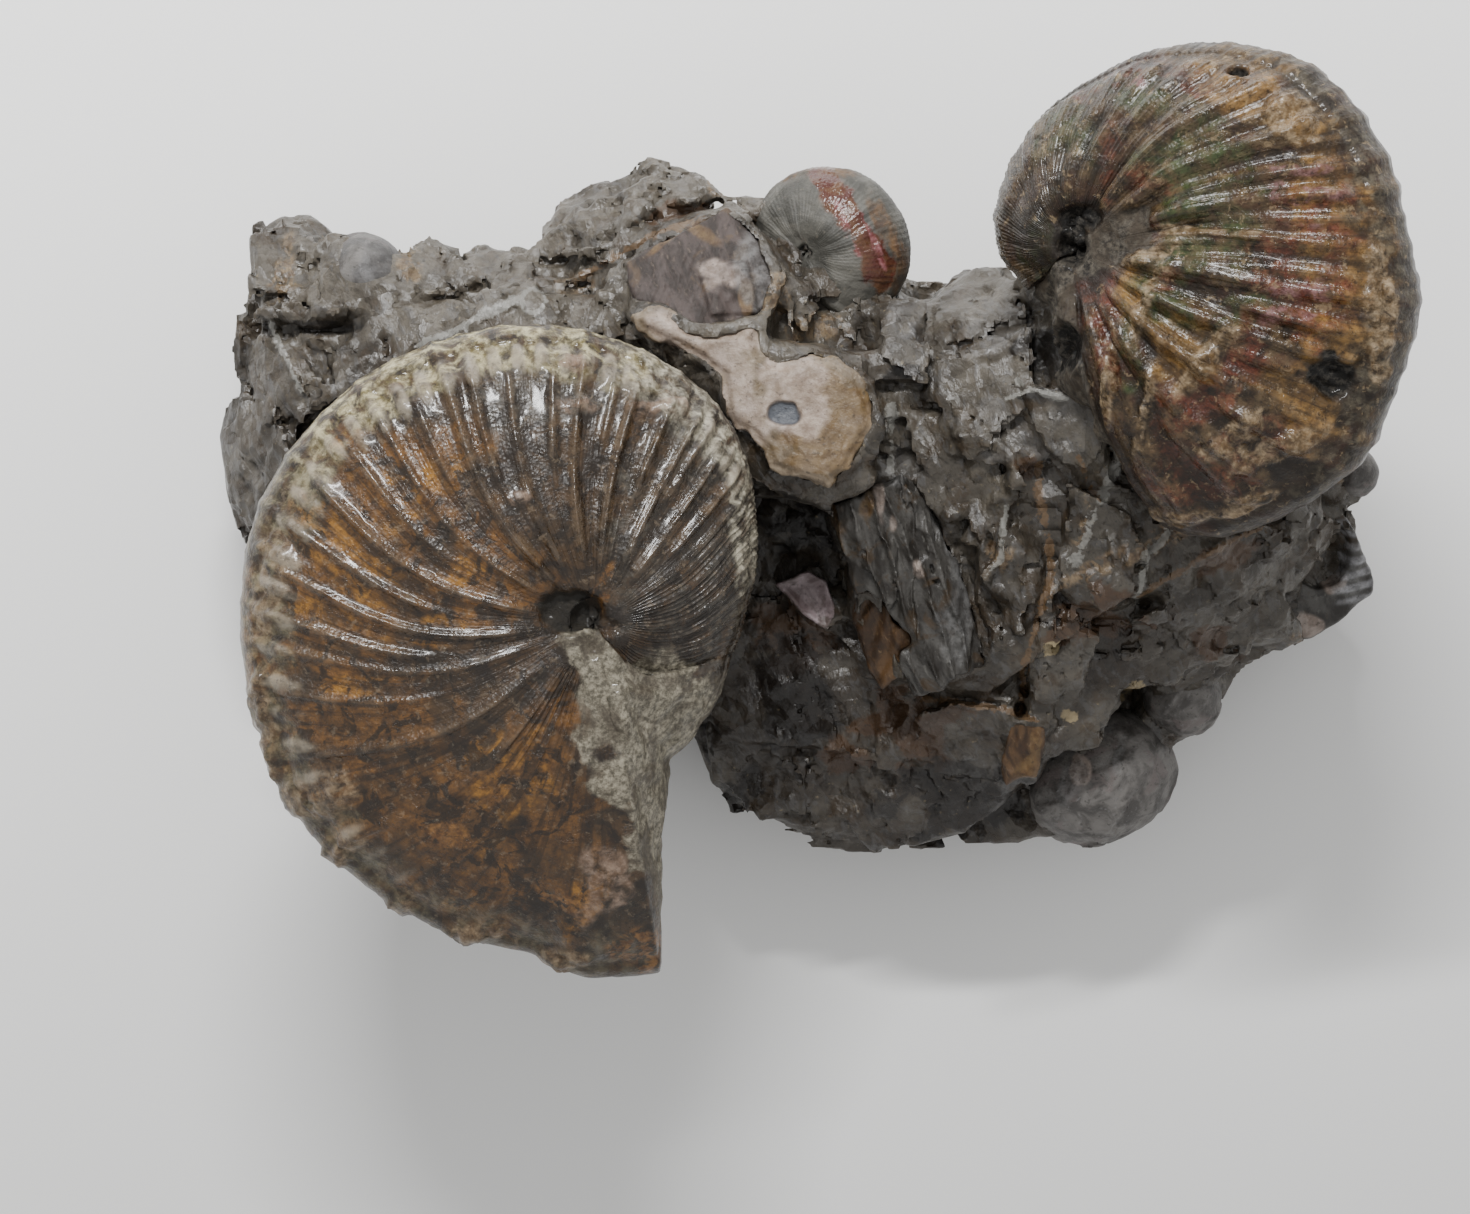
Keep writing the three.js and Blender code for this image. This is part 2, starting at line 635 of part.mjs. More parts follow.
// A sloping plate with the given outline.
function plate({ outline, height, slopeX, slopeY, thickness }, grow = 0) {
  const corners = outline.map(([x, y]) => new THREE.Vector2(x, y));
  const middle = corners.reduce((sum, c) => sum.add(c), new THREE.Vector2()).divideScalar(corners.length);
  const outset = corners.map((corner, k) => {
    const before = corners[(k + corners.length - 1) % corners.length];
    const after = corners[(k + 1) % corners.length];
    const run = after.clone().sub(before).normalize();
    const side = new THREE.Vector2(run.y, -run.x);
    return corner.clone().addScaledVector(side, THREE.ShapeUtils.area(corners) > 0 ? grow : -grow);
  });
  const geometry = new THREE.ExtrudeGeometry(new THREE.Shape(outset), {
    depth: thickness + 2 * grow,
    bevelEnabled: false,
  });
  const position = geometry.attributes.position;
  for (let k = 0; k < position.count; k += 1) {
    const x = position.getX(k);
    const y = position.getY(k);
    const slope = (x - middle.x) * slopeX + (y - middle.y) * slopeY;
    position.setZ(k, position.getZ(k) + height - thickness - grow + slope);
  }
  return toSolid(geometry);
}

// A length of ribbed shell: crowned cross-sections with ribs along it, from start to end.
function ribbedFragment(fragment, grow = 0) {
  const { start, end, halfWidth, widthShares, underside, thickness, ribs, ribHeight, crown } = fragment;
  const from = new THREE.Vector3(...start);
  const to = new THREE.Vector3(...end);
  const forward = to.clone().sub(from).normalize();
  const side = new THREE.Vector3(-forward.y, forward.x, 0).normalize();
  const up = new THREE.Vector3().crossVectors(forward, side).normalize();
  from.addScaledVector(forward, -grow);
  to.addScaledVector(forward, grow);
  const across = ribs * 2 + 1;
  const stations = widthShares.length;
  const points = [];
  for (let i = 0; i < stations; i += 1) {
    const half = halfWidth * widthShares[i];
    const middle = from.clone().lerp(to, i / (stations - 1));
    const place = (offset, rise) =>
      points.push(...middle.clone().addScaledVector(side, offset).addScaledVector(up, rise).toArray());
    for (let j = 0; j < across; j += 1) {
      const u = (j / (across - 1)) * 2 - 1;
      const rib = (j % 2 === 1 ? 1 : 0) * ribHeight;
      place(u * (half + grow), crown * (1 - u * u) + rib + grow);
    }
    place(half * underside + grow, -thickness - grow);
    place(-half * underside - grow, -thickness - grow);
  }
  const round = across + 2;
  const faces = [];
  for (let i = 0; i < stations - 1; i += 1) {
    for (let j = 0; j < round; j += 1) {
      const a = i * round + j;
      const b = i * round + ((j + 1) % round);
      faces.push([a, b + round, b], [a, a + round, b + round]);
    }
  }
  const lastStation = (stations - 1) * round;
  for (let j = 1; j < round - 1; j += 1) {
    faces.push([0, j, j + 1], [lastStation, lastStation + j + 1, lastStation + j]);
  }
  const geometry = new THREE.BufferGeometry();
  geometry.setAttribute("position", new THREE.Float32BufferAttribute(points, 3));
  geometry.setIndex(faces.flat());
  return toSolid(geometry);
}

// The ribbed fragment, broken away where the brown strip lies over its lower edge.
function ribbedShell(grow = 0) {
  return largestBody(ribbedFragment(RIBBED_FRAGMENT, grow).subtract(plate(BROWN_STRIP, GAP)));
}

// The cream clam plate with the round hole that shows the rock.
function creamClam(grow = 0) {
  const { centre, radius, depth, sides } = CREAM_CLAM_HOLE;
  const drill = new THREE.CylinderGeometry(radius - grow, radius - grow, depth, sides);
  drill.rotateX(Math.PI / 2).translate(...centre, CREAM_CLAM.height);
  return plate(CREAM_CLAM, grow).subtract(toSolid(drill));
}

// The broken whorl with its hollow.
function brokenWhorl() {
  return rockBlock(BROKEN_WHORL).subtract(ellipsoid(BROKEN_WHORL.hollow));
}

// The space that the broken whorl takes in the rock, with the gap round it.
function brokenWhorlSocket() {
  const { top, foot, footShare, clearance } = BROKEN_WHORL;
  const middle = ringAt(top, 0, 0)[0];
  const wider = top.map(([x, y, z]) => {
    const out = new THREE.Vector2(x - middle.x, y - middle.y).normalize().multiplyScalar(clearance);
    return [x + out.x, y + out.y, z + GAP];
  });
  return rockBlock({ top: wider, foot: foot - GAP, footShare });
}

// A named mesh from a solid that already stands in place.
function piece(name, solid, finish) {
  const mesh = new THREE.Mesh(toGeometry(solid), new THREE.MeshStandardMaterial(finish));
  mesh.name = name;
  return mesh;
}

// A named mesh of a coiled shell, set in the block by its position and rotation.
function scaphite(name, shell, finish) {
  const geometry = scaphiteGeometry(shell);
  geometry.computeVertexNormals();
  const mesh = new THREE.Mesh(geometry, new THREE.MeshStandardMaterial(finish));
  mesh.name = name;
  mesh.position.set(...shell.centre);
  mesh.rotation.set(shell.tiltX * DEGREE, shell.tiltY * DEGREE, 0);
  return mesh;
}

const shells = {
  cream_clam_shell: [creamClam, CREAM_SHELL],
  striated_shell: [(grow) => plate(STRIATED_SHELL, grow), PURPLE_SHELL],
  ribbed_shell_fragment: [ribbedShell, BLUE_GREY_SHELL],
  brown_shell_strip: [(grow) => plate(BROWN_STRIP, grow), BROWN_SHELL],
  pink_shell_chip: [(grow) => plate(PINK_CHIP, grow), PINK_SHELL],
  amber_shell_chip: [(grow) => plate(AMBER_CHIP, grow), BROWN_SHELL],
};

const group = new THREE.Group();
group.name = "ammonites_in_rock";

// Rock, cut where each fossil sits in it
let rock = Object.values(ROCK_BLOCKS).map(rockBlock).reduce((sum, block) => sum.add(block));
for (const shell of [LARGE, UPPER, TOP]) rock = rock.subtract(scaphiteSocket(shell));
for (const [make] of Object.values(shells)) rock = rock.subtract(make(GAP));
for (const mould of Object.values(CLAM_MOULDS)) rock = rock.subtract(ellipsoid(mould, GAP));
rock = rock.subtract(brokenWhorlSocket());
rock = largestBody(rock);
group.add(piece("matrix_rock", rock, ROCK));

group.add(scaphite("large_scaphite", LARGE, AMBER_SHELL));
group.add(scaphite("upper_scaphite", UPPER, NACRE_SHELL));
group.add(scaphite("top_scaphite", TOP, RED_NACRE));
for (const [name, [make, finish]] of Object.entries(shells)) group.add(piece(name, make(0), finish));
for (const [name, mould] of Object.entries(CLAM_MOULDS)) {
  group.add(piece(name, ellipsoid(mould), SMOOTH_MOULD));
}
group.add(piece("broken_whorl", brokenWhorl(), BLUE_GREY_SHELL));

export default group;
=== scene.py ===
# %% [markdown]
# # Scaphite ammonites in a block of rock
# The real object is a loose piece of dark sea-floor mudstone. Two complete scaphites, one small buried
# ammonite and scraps of clam shell stand out of it. This notebook dresses the imported model: every shape that
# is shown is worked out here with numpy, in the same place and at the same size as its solid.
# First comes the fixed frame, which gives the solids and their boxes.

# %% Load the frame
import math
import bpy
import numpy as np
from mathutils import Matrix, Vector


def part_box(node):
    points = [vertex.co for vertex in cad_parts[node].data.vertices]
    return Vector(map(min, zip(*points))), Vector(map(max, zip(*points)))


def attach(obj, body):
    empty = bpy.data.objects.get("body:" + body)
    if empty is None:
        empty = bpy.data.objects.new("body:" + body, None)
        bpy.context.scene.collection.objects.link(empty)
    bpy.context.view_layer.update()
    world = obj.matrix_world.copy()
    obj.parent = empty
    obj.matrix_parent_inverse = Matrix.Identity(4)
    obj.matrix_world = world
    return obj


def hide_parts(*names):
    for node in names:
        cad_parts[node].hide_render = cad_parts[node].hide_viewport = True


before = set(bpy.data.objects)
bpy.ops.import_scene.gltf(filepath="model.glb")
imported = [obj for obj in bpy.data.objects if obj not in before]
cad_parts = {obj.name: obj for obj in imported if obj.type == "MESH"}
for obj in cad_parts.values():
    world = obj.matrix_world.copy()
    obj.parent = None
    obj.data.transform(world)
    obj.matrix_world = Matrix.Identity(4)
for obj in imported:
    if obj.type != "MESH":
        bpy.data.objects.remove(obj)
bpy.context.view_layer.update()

MM = 0.001

# %% [markdown]
# ## The camera
# The photograph looks straight down on the block from a little under half a metre, so the shells' sides
# show only a little. A long lens at that distance gives the same mild perspective.

# %% Camera
CAMERA_SPOT = (-6.214, -6.607, 448.0)  # mm, straight above the point that the photograph is centred on
LENS, SENSOR_WIDTH = 144, 36  # mm
NEAREST_SHOWN = 0.01  # m
camera_data = bpy.data.cameras.new("camera")
camera_data.lens = LENS
camera_data.sensor_width = SENSOR_WIDTH
camera_data.sensor_fit = "HORIZONTAL"
camera_data.clip_start = NEAREST_SHOWN
camera = bpy.data.objects.new("camera", camera_data)
camera.location = [v * MM for v in CAMERA_SPOT]
bpy.context.scene.collection.objects.link(camera)
bpy.context.scene.camera = camera
print("camera", [round(v, 4) for v in camera.location], "m")

# %% [markdown]
# ## Random numbers that never change
# Natural surfaces need irregular values that stay the same on every run. Each whole-number cell of space gets
# a number by mixing its coordinates with large odd numbers. Smooth noise blends the numbers of the eight
# cells round a point. Broken stone is made of flat chips instead, so a second kind of noise finds the chip
# that a point belongs to and tilts it as one flat face.

# %% Noise
ODD_X, ODD_Y, ODD_Z, ODD_SALT, ODD_MORE = 374761393, 668265263, 1442695041, 97463477, 1274126177
LOW_32_BITS, LOW_24_BITS, LOW_10_BITS = 0xFFFFFFFF, 0xFFFFFF, 1023
FAR, DEEP = 9.0, -99.0


def mixed_bits(cell, salt):
    """Thirty-two mixed bits for each whole-number cell: coordinates times odd numbers, then shifts."""
    mixed = cell[..., 0] * ODD_X + cell[..., 1] * ODD_Y + cell[..., 2] * ODD_Z + salt * ODD_SALT
    mixed = mixed & LOW_32_BITS
    mixed = ((mixed ^ (mixed >> 13)) * ODD_MORE) & LOW_32_BITS
    mixed = ((mixed ^ (mixed >> 16)) * ODD_Y) & LOW_32_BITS
    return mixed ^ (mixed >> 15)


def hashed(cell, salt):
    """A number in 0..1 for each cell, from 24 of its mixed bits."""
    return (mixed_bits(cell, salt) & LOW_24_BITS).astype(np.float32) / LOW_24_BITS


def hashed_triple(cell, salt):
    """Three numbers in 0..1 for each cell, from ten of its mixed bits each."""
    bits = mixed_bits(cell, salt)
    parts = [(bits >> shift) & LOW_10_BITS for shift in (0, 10, 20)]
    return np.stack(parts, axis=-1).astype(np.float32) / LOW_10_BITS


def eased(x, low, high):
    """0 up to low, 1 from high on and a smooth S between them: 3t² - 2t³."""
    t = np.clip((x - low) / (high - low), 0, 1)
    return t * t * (3 - 2 * t)


def smooth_noise(points, size, salt):
    """Blend of the hashed numbers at the corners of the cell round each point, from -1 to 1."""
    at = points / size
    cell = np.floor(at).astype(np.int64)
    part = (at - cell).astype(np.float32)
    part = part * part * (3 - 2 * part)
    total = 0
    for corner in np.ndindex(2, 2, 2):
        weight = np.prod(np.where(corner, part, 1 - part), axis=-1)
        total = total + weight * hashed(cell + np.array(corner), salt)
    return 2 * total - 1


def layered_noise(points, size, octaves, salt):
    """Sum of smooth noises, each half as big and half as wide as the one before."""
    return sum(smooth_noise(points, size / 2**k, salt + k) / 2**k for k in range(octaves))


def chips(points, size, salt):
    """Height of flat chips, from about -1 to 1: the nearest hashed seed gives its own height and tilt."""
    at = (points / np.asarray(size, dtype=float)).astype(np.float32)
    base = np.floor(at - 0.5).astype(np.int64)
    near = np.full(at.shape[:-1], FAR, np.float32)
    height = np.zeros_like(near)
    for corner in np.ndindex(2, 2, 2):
        cell = base + np.array(corner)
        offset = at - cell - (0.15 + 0.7 * hashed_triple(cell, salt))
        distance = np.linalg.norm(offset, axis=-1)
        tilt = hashed_triple(cell, salt + 3) - 0.5
        face = tilt.sum(axis=-1) / 1.5 + 1.8 * np.einsum("...i,...i->...", offset, tilt)
        closer = distance < near
        height = np.where(closer, face, height)
        near = np.where(closer, distance, near)
    return height


sample = np.random.default_rng(1).uniform(-40, 40, (5000, 3))
print("chip heights, 5th and 95th of 100:", np.percentile(chips(sample, (4, 4, 3), 5), [5, 95]).round(2))

# %% [markdown]
# ## From numbers to a mesh
# Two ways are used. A coiled shell is a closed surface over two angles, so its points form a grid that only
# needs its poles closed. Rock and shell scraps are easier as a field: a number for every point of space,
# below 0 inside the thing. Fields are joined, cut, cracked and roughened by plain sums. The surface where the
# field is 0 is then caught in a net of quads, one point for each cell that the surface crosses.

# %% Mesh makers
def make_object(name, points, faces, values=None):
    """A shown mesh object at the origin from points in mm, with its faces outwards and float values."""
    mesh = bpy.data.meshes.new(name)
    mesh.vertices.add(len(points))
    mesh.vertices.foreach_set("co", np.asarray(points * MM, np.float32).ravel())
    sides = (faces >= 0).sum(axis=1)
    mesh.loops.add(int(sides.sum()))
    mesh.loops.foreach_set("vertex_index", faces[faces >= 0].astype(np.int32))
    mesh.polygons.add(len(faces))
    mesh.polygons.foreach_set("loop_start", np.concatenate([[0], np.cumsum(sides)[:-1]]).astype(np.int32))
    mesh.update(calc_edges=True)
    mesh.polygons.foreach_set("use_smooth", np.ones(len(faces), bool))
    for key, value in (values or {}).items():
        layer = mesh.attributes.new(key, "FLOAT", "POINT")
        layer.data.foreach_set("value", np.asarray(value, np.float32).ravel())
    mesh.validate()
    made = bpy.data.objects.new(name, mesh)
    bpy.context.scene.collection.objects.link(made)
    print(name, len(points), "points,", int((sides - 2).sum()), "triangles")
    return made


def outward(points, faces):
    """The faces, turned round if the volume that they enclose comes out negative."""
    a, b, c = (points[faces[:, k]] for k in range(3))
    volume = np.einsum("ij,ij->", a, np.cross(b, c))
    has_fourth = faces[:, 3] >= 0
    d = points[faces[has_fourth, 3]]
    volume += np.einsum("ij,ij->", a[has_fourth], np.cross(c[has_fourth], d))
    if volume > 0:
        return faces
    turned = faces[:, ::-1].copy()
    turned[~has_fourth] = np.roll(turned[~has_fourth], -1, axis=1)
    return turned


def closed_grid(points):
    """Points and faces of a grid that closes on itself round its first axis and in a pole at both ends."""
    around, across = points.shape[:2]
    inner = points[:, 1:-1].reshape(-1, 3)
    poles = points[:, [0, -1]].mean(axis=0)
    width = across - 2
    here = (np.arange(around) * width)[:, None] + np.arange(width - 1)
    after = (np.roll(np.arange(around), -1) * width)[:, None] + np.arange(width - 1)
    quads = np.stack([here, here + 1, after + 1, after], axis=-1).reshape(-1, 4)
    ring, following = np.arange(around) * width, np.roll(np.arange(around) * width, -1)
    front, back, none = len(inner), len(inner) + 1, np.full(around, -1)
    front_fan = np.stack([np.full(around, front), ring, following, none], axis=-1)
    back_fan = np.stack([np.full(around, back), following + width - 1, ring + width - 1, none], axis=-1)
    every = np.concatenate([inner, poles])
    return every, outward(every, np.concatenate([quads, front_fan, back_fan]))


def grid_values(values):
    """A grid of values in the order of closed_grid's points."""
    poles = [values[:, end].mean(keepdims=True) for end in (0, -1)]
    return np.concatenate([values[:, 1:-1].ravel(), *poles])


def surface_net(field, corner, step):
    """The surface where the field is 0, as points and quads.

    Each grid edge whose ends differ in sign is crossed where a straight line between them is 0. A cell's
    point is the mean of the crossings on its edges. Each crossed edge gives one quad between the cells
    round it.
    """
    inside = field < 0
    shape = np.array(field.shape)
    total = np.zeros((field.size, 3), np.float32)
    count = np.zeros(field.size, np.float32)
    quads = []
    stride = np.array([shape[1] * shape[2], shape[2], 1])
    for axis in range(3):
        low = tuple(slice(0, -1) if a == axis else slice(1, -1) for a in range(3))
        high = tuple(slice(1, None) if a == axis else slice(1, -1) for a in range(3))
        crossed = inside[low] != inside[high]
        at = np.argwhere(crossed) + np.array([0 if a == axis else 1 for a in range(3)])
        flat = at @ stride
        first = field.ravel()[flat]
        part = first / (first - field.ravel()[flat + stride[axis]])
        spot = at.astype(np.float32)
        spot[:, axis] += part
        one, two = stride[[a for a in range(3) if a != axis]]
        ring = np.stack([flat, flat - one, flat - one - two, flat - two], axis=-1)
        for k in range(4):
            for a in range(3):
                total[:, a] += np.bincount(ring[:, k], spot[:, a], field.size).astype(np.float32)
            count += np.bincount(ring[:, k], minlength=field.size).astype(np.float32)
        starts_inside = inside.ravel()[flat]
        flip = starts_inside if axis != 1 else ~starts_inside
        quads.append(np.where(flip[:, None], ring, ring[:, ::-1]))
    used = np.flatnonzero(count)
    number = np.full(field.size, -1, np.int64)
    number[used] = np.arange(len(used))
    points = np.asarray(corner) + step * total[used] / count[used, None]
    faces = number[np.concatenate(quads)]
    return points, outward(points, faces)


def smooth_through(pairs, x):
    """A smooth curve through (x, y) pairs: a cubic between neighbours, level at each turning point."""
    xs, ys = np.array(pairs, float).T
    chord = np.diff(ys) / np.diff(xs)
    before, after = chord[:-1], chord[1:]
    same_way = before * after > 0
    middle = 2 * before * after / np.where(same_way, before + after, 1)
    slope = np.concatenate([chord[:1], np.where(same_way, middle, 0), chord[-1:]])
    k = np.clip(np.searchsorted(xs, x, side="right") - 1, 0, len(xs) - 2)
    run = xs[k + 1] - xs[k]
    t = np.clip((x - xs[k]) / run, 0, 1)
    rest = 1 - t
    level = ys[k] * (1 + 2 * t) * rest**2 + ys[k + 1] * t**2 * (3 - 2 * t)
    return level + run * t * rest * (slope[k] * rest - slope[k + 1] * t)

# %% [markdown]
# ## The coiled shells
# A scaphite coils in one plane and then opens into a hook, so its outer radius first grows slowly and then
# fast. The values below are the solids' own: radius against growth angle, the mouth where growth ends, and
# how far each rib bends on its way out. The mouth is closed by a wall of mudstone, because the living
# chamber is full of rock.

# %% Shell values
LARGE = {
    "centre": (-16.4, -6.9, 31.0), "tilt": (7, 3), "coil": 1, "start": -50, "mouth": 331,
    "radii": [
        (0, 10.4), (24, 11.1), (40, 12.1), (61, 13.3), (75, 14.1), (107, 16.7), (143, 19.5), (185, 22.2),
        (220, 24.2), (257, 25.0), (299, 25.3), (311, 25.0), (321, 26.5), (331, 26.5), (334, 20.0),
        (338, 15.5), (343, 11.6), (352, 10.8), (360, 10.4),
    ],
    "flex": [(0, 34), (50, 22), (90, 4), (150, -8), (230, -15), (290, -12), (315, -2), (335, 0), (360, 34)],
    "half_width": (5.6, 9.2), "umbilicus_half_width": 8.2, "umbilicus_radius": 2.2,
}
UPPER = {
    "centre": (20.2, 19.0, 32.5), "tilt": (6, -28), "coil": -1, "start": 215, "mouth": 291,
    "radii": [
        (0, 6.2), (33, 8.0), (80, 9.4), (110, 11.6), (138, 15.2), (168, 19.8), (201, 22.2), (236, 23.6),
        (255, 24.2), (274, 23.0), (291, 20.6), (296, 16.0), (303, 12.2), (322, 10.4), (342, 6.4),
        (360, 6.2),
    ],
    "flex": [(0, 4), (90, 8), (150, 10), (200, 6), (250, -4), (290, 0), (360, 4)],
    "half_width": (4.6, 8.6), "umbilicus_half_width": 7.2, "umbilicus_radius": 1.9,
}
TOP = {
    "centre": (0.2, 19.4, 20.4), "tilt": (10, -24), "coil": -1, "start": 250, "mouth": 310,
    "radii": [(0, 4.7), (90, 5.6), (180, 6.1), (270, 6.5), (310, 6.6), (335, 4.9), (360, 4.7)],
    "flex": [(0, 0), (180, -6), (320, -6), (360, 0)],
    "half_width": (3.0, 4.2), "umbilicus_half_width": 3.6, "umbilicus_radius": 0.8,
}
MOUTH_WALL_DEGREES = 40
UMBILICUS_REACH = (0.1, 0.6)
FLEX_REACH = (0.3, 1.0)
# where the rounded outer edge begins: share of the way, share of the half width
EDGE_WAY, EDGE_SHARE = 0.94, 0.32
# the same two shares across the flank, from the umbilicus' rim to the outer edge
FLANK = [(0, 0.94), (0.27, 0.99), (0.55, 0.86), (0.78, 0.63), (EDGE_WAY, EDGE_SHARE), (1, 0)]


def shell_turn(shell):
    """The matrix that tilts a shell about X and then, inside that, about Y."""
    x, y = np.radians(shell["tilt"])
    about_x = np.array([[1, 0, 0], [0, math.cos(x), -math.sin(x)], [0, math.sin(x), math.cos(x)]])
    about_y = np.array([[math.cos(y), 0, math.sin(y)], [0, 1, 0], [-math.sin(y), 0, math.cos(y)]])
    return about_x @ about_y


def whorl_half_width(shell, growth, reach):
    """Half the shell's thickness: the umbilicus' own near it, the whorl's own further out."""
    mouth = shell["mouth"]
    age = np.where(growth < mouth, growth / mouth, 1 - (growth - mouth) / MOUTH_WALL_DEGREES)
    low, high = shell["half_width"]
    outer = low + (high - low) * np.clip(age, 0, 1)
    share = eased(reach, *UMBILICUS_REACH)
    return shell["umbilicus_half_width"] * (1 - share) + outer * share


def flank_share(way):
    """Share of the half width across the flank, rounded off like a circle towards the outer edge."""
    lower = smooth_through(FLANK, np.clip(way, 0, EDGE_WAY))
    past = (np.clip(way, EDGE_WAY, 1) - EDGE_WAY) / (1 - EDGE_WAY)
    edge = EDGE_SHARE * np.sqrt(np.clip(1 - past**2, 0, 1))
    return np.where(way < EDGE_WAY, lower, edge)


def shell_field(shell, points):
    """Roughly the distance to a smooth shell from each point, below 0 inside it."""
    local = (points - np.array(shell["centre"])) @ shell_turn(shell)
    radius = np.hypot(local[..., 0], local[..., 1])
    turned = np.degrees(np.arctan2(local[..., 1], local[..., 0]))
    table = np.arange(361.0)
    bent = table + smooth_through(shell["flex"], table)
    angle = bent[0] + np.mod(shell["coil"] * (turned - shell["start"]) - bent[0], 360)
    growth = np.interp(angle, bent, table)
    edge = smooth_through(shell["radii"], growth)
    reach = radius / edge
    rim = shell["umbilicus_radius"]
    way = np.clip((radius - rim) / (edge - rim), 0, 1)
    width = whorl_half_width(shell, growth, reach) * flank_share(way)
    flat = np.abs(local[..., 2])
    return np.where(reach < 1, 0.7 * (flat - width), np.hypot(flat, radius - edge))


for name, shell in {"large": LARGE, "upper": UPPER, "top": TOP}.items():
    centre = np.array([shell["centre"]])
    print(name, "field at its centre:", shell_field(shell, centre).round(1), "mm")

# %% [markdown]
# ## Scraps of shell and moulds
# Around the ammonites lie broken plates of clam shell and smooth moulds of small clams. A plate is an outline
# with a sloping top and a thickness. A mould is an egg shape. The broken whorl is a convex block with a
# hollow. Each is a field here, because the rock is also cut round it, and the same field then gives the piece
# its own fine surface.

# %% Field tools
SPOT_WARP, SPOT_WARP_SIZE, SPOT_BLUR = 0.75, 2.4, 0.45


def path_distance(path, x, y):
    """Distance in the plane to an open path of points."""
    nearest = np.full(np.broadcast(x, y).shape, 1e9, np.float32)
    for (ax, ay), (bx, by) in zip(path[:-1], path[1:]):
        run, rise = bx - ax, by - ay
        t = np.clip(((x - ax) * run + (y - ay) * rise) / (run**2 + rise**2), 0, 1)
        nearest = np.minimum(nearest, np.hypot(x - ax - t * run, y - ay - t * rise))
    return nearest


def outline_distance(outline, x, y):
    """Distance in the plane to a closed outline, below 0 inside: nearest side, and crossings counted odd."""
    corners = np.array(outline, float)
    nearest = path_distance(np.concatenate([corners, corners[:1]]), x, y)
    inside = np.zeros(nearest.shape, bool)
    for (ax, ay), (bx, by) in zip(corners, np.roll(corners, -1, axis=0)):
        slant = (bx - ax) * (y - ay) / ((by - ay) or 1e-9)
        inside ^= ((ay > y) != (by > y)) & (x < ax + slant)
    return np.where(inside, -nearest, nearest)


def soft_min(a, b, width):
    """The smaller of two fields, with the crease between them filled over about the given width."""
    share = np.clip(0.5 + 0.5 * (b - a) / width, 0, 1)
    return b * (1 - share) + a * share - width * share * (1 - share)


def soft_max(a, b, width):
    """The larger of two fields, with the edge between them rounded over about the given width."""
    return -soft_min(-a, -b, width)


def spots_share(points, spots, salt=5):
    """How far a point lies in any of the spots, 0 to 1. A spot is a ragged ellipse: x, y, half axes, turn."""
    warp = SPOT_WARP * layered_noise(points, SPOT_WARP_SIZE, 3, salt)
    best = np.zeros(points.shape[:-1], np.float32)
    for x, y, wide, high, turn in spots:
        c, s = math.cos(math.radians(turn)), math.sin(math.radians(turn))
        dx, dy = points[..., 0] - x, points[..., 1] - y
        reach = np.hypot((dx * c + dy * s) / wide, (dy * c - dx * s) / high) + warp
        best = np.maximum(best, 1 - eased(reach, 1 - SPOT_BLUR, 1 + SPOT_BLUR))
    return best


def hull_planes(points):
    """Every plane through three of the points that has all the others behind it: normals and offsets."""
    count = len(points)
    a, b, c = np.array([t for t in np.ndindex(count, count, count) if t[0] < t[1] < t[2]]).T
    normal = np.cross(points[b] - points[a], points[c] - points[a])
    length = np.linalg.norm(normal, axis=1)
    good = length > 1e-6
    normal, a = normal[good] / length[good, None], a[good]
    side = normal @ points.T - np.sum(normal * points[a], axis=1)[:, None]
    below, above = side.max(axis=1) < 1e-4, side.min(axis=1) > -1e-4
    normal = np.where(above[:, None], -normal, normal)[below | above]
    offset = np.sum(normal * points[a[below | above]], axis=1)
    planes = np.unique(np.column_stack([normal, offset]).round(3), axis=0)
    return planes[:, :3], planes[:, 3]


def ring_at(corners, share, height):
    """The corners drawn in to a share of their distance from their middle, at one height."""
    middle = corners[:, :2].mean(axis=0)
    flat = middle + (corners[:, :2] - middle) * share
    return np.column_stack([flat, np.full(len(flat), height)])


def flat_points(x, y):
    """Points at height 0, for noise that is the same all the way down."""
    return np.stack([x + 0 * y, y + 0 * x, 0 * x + 0 * y], axis=-1)


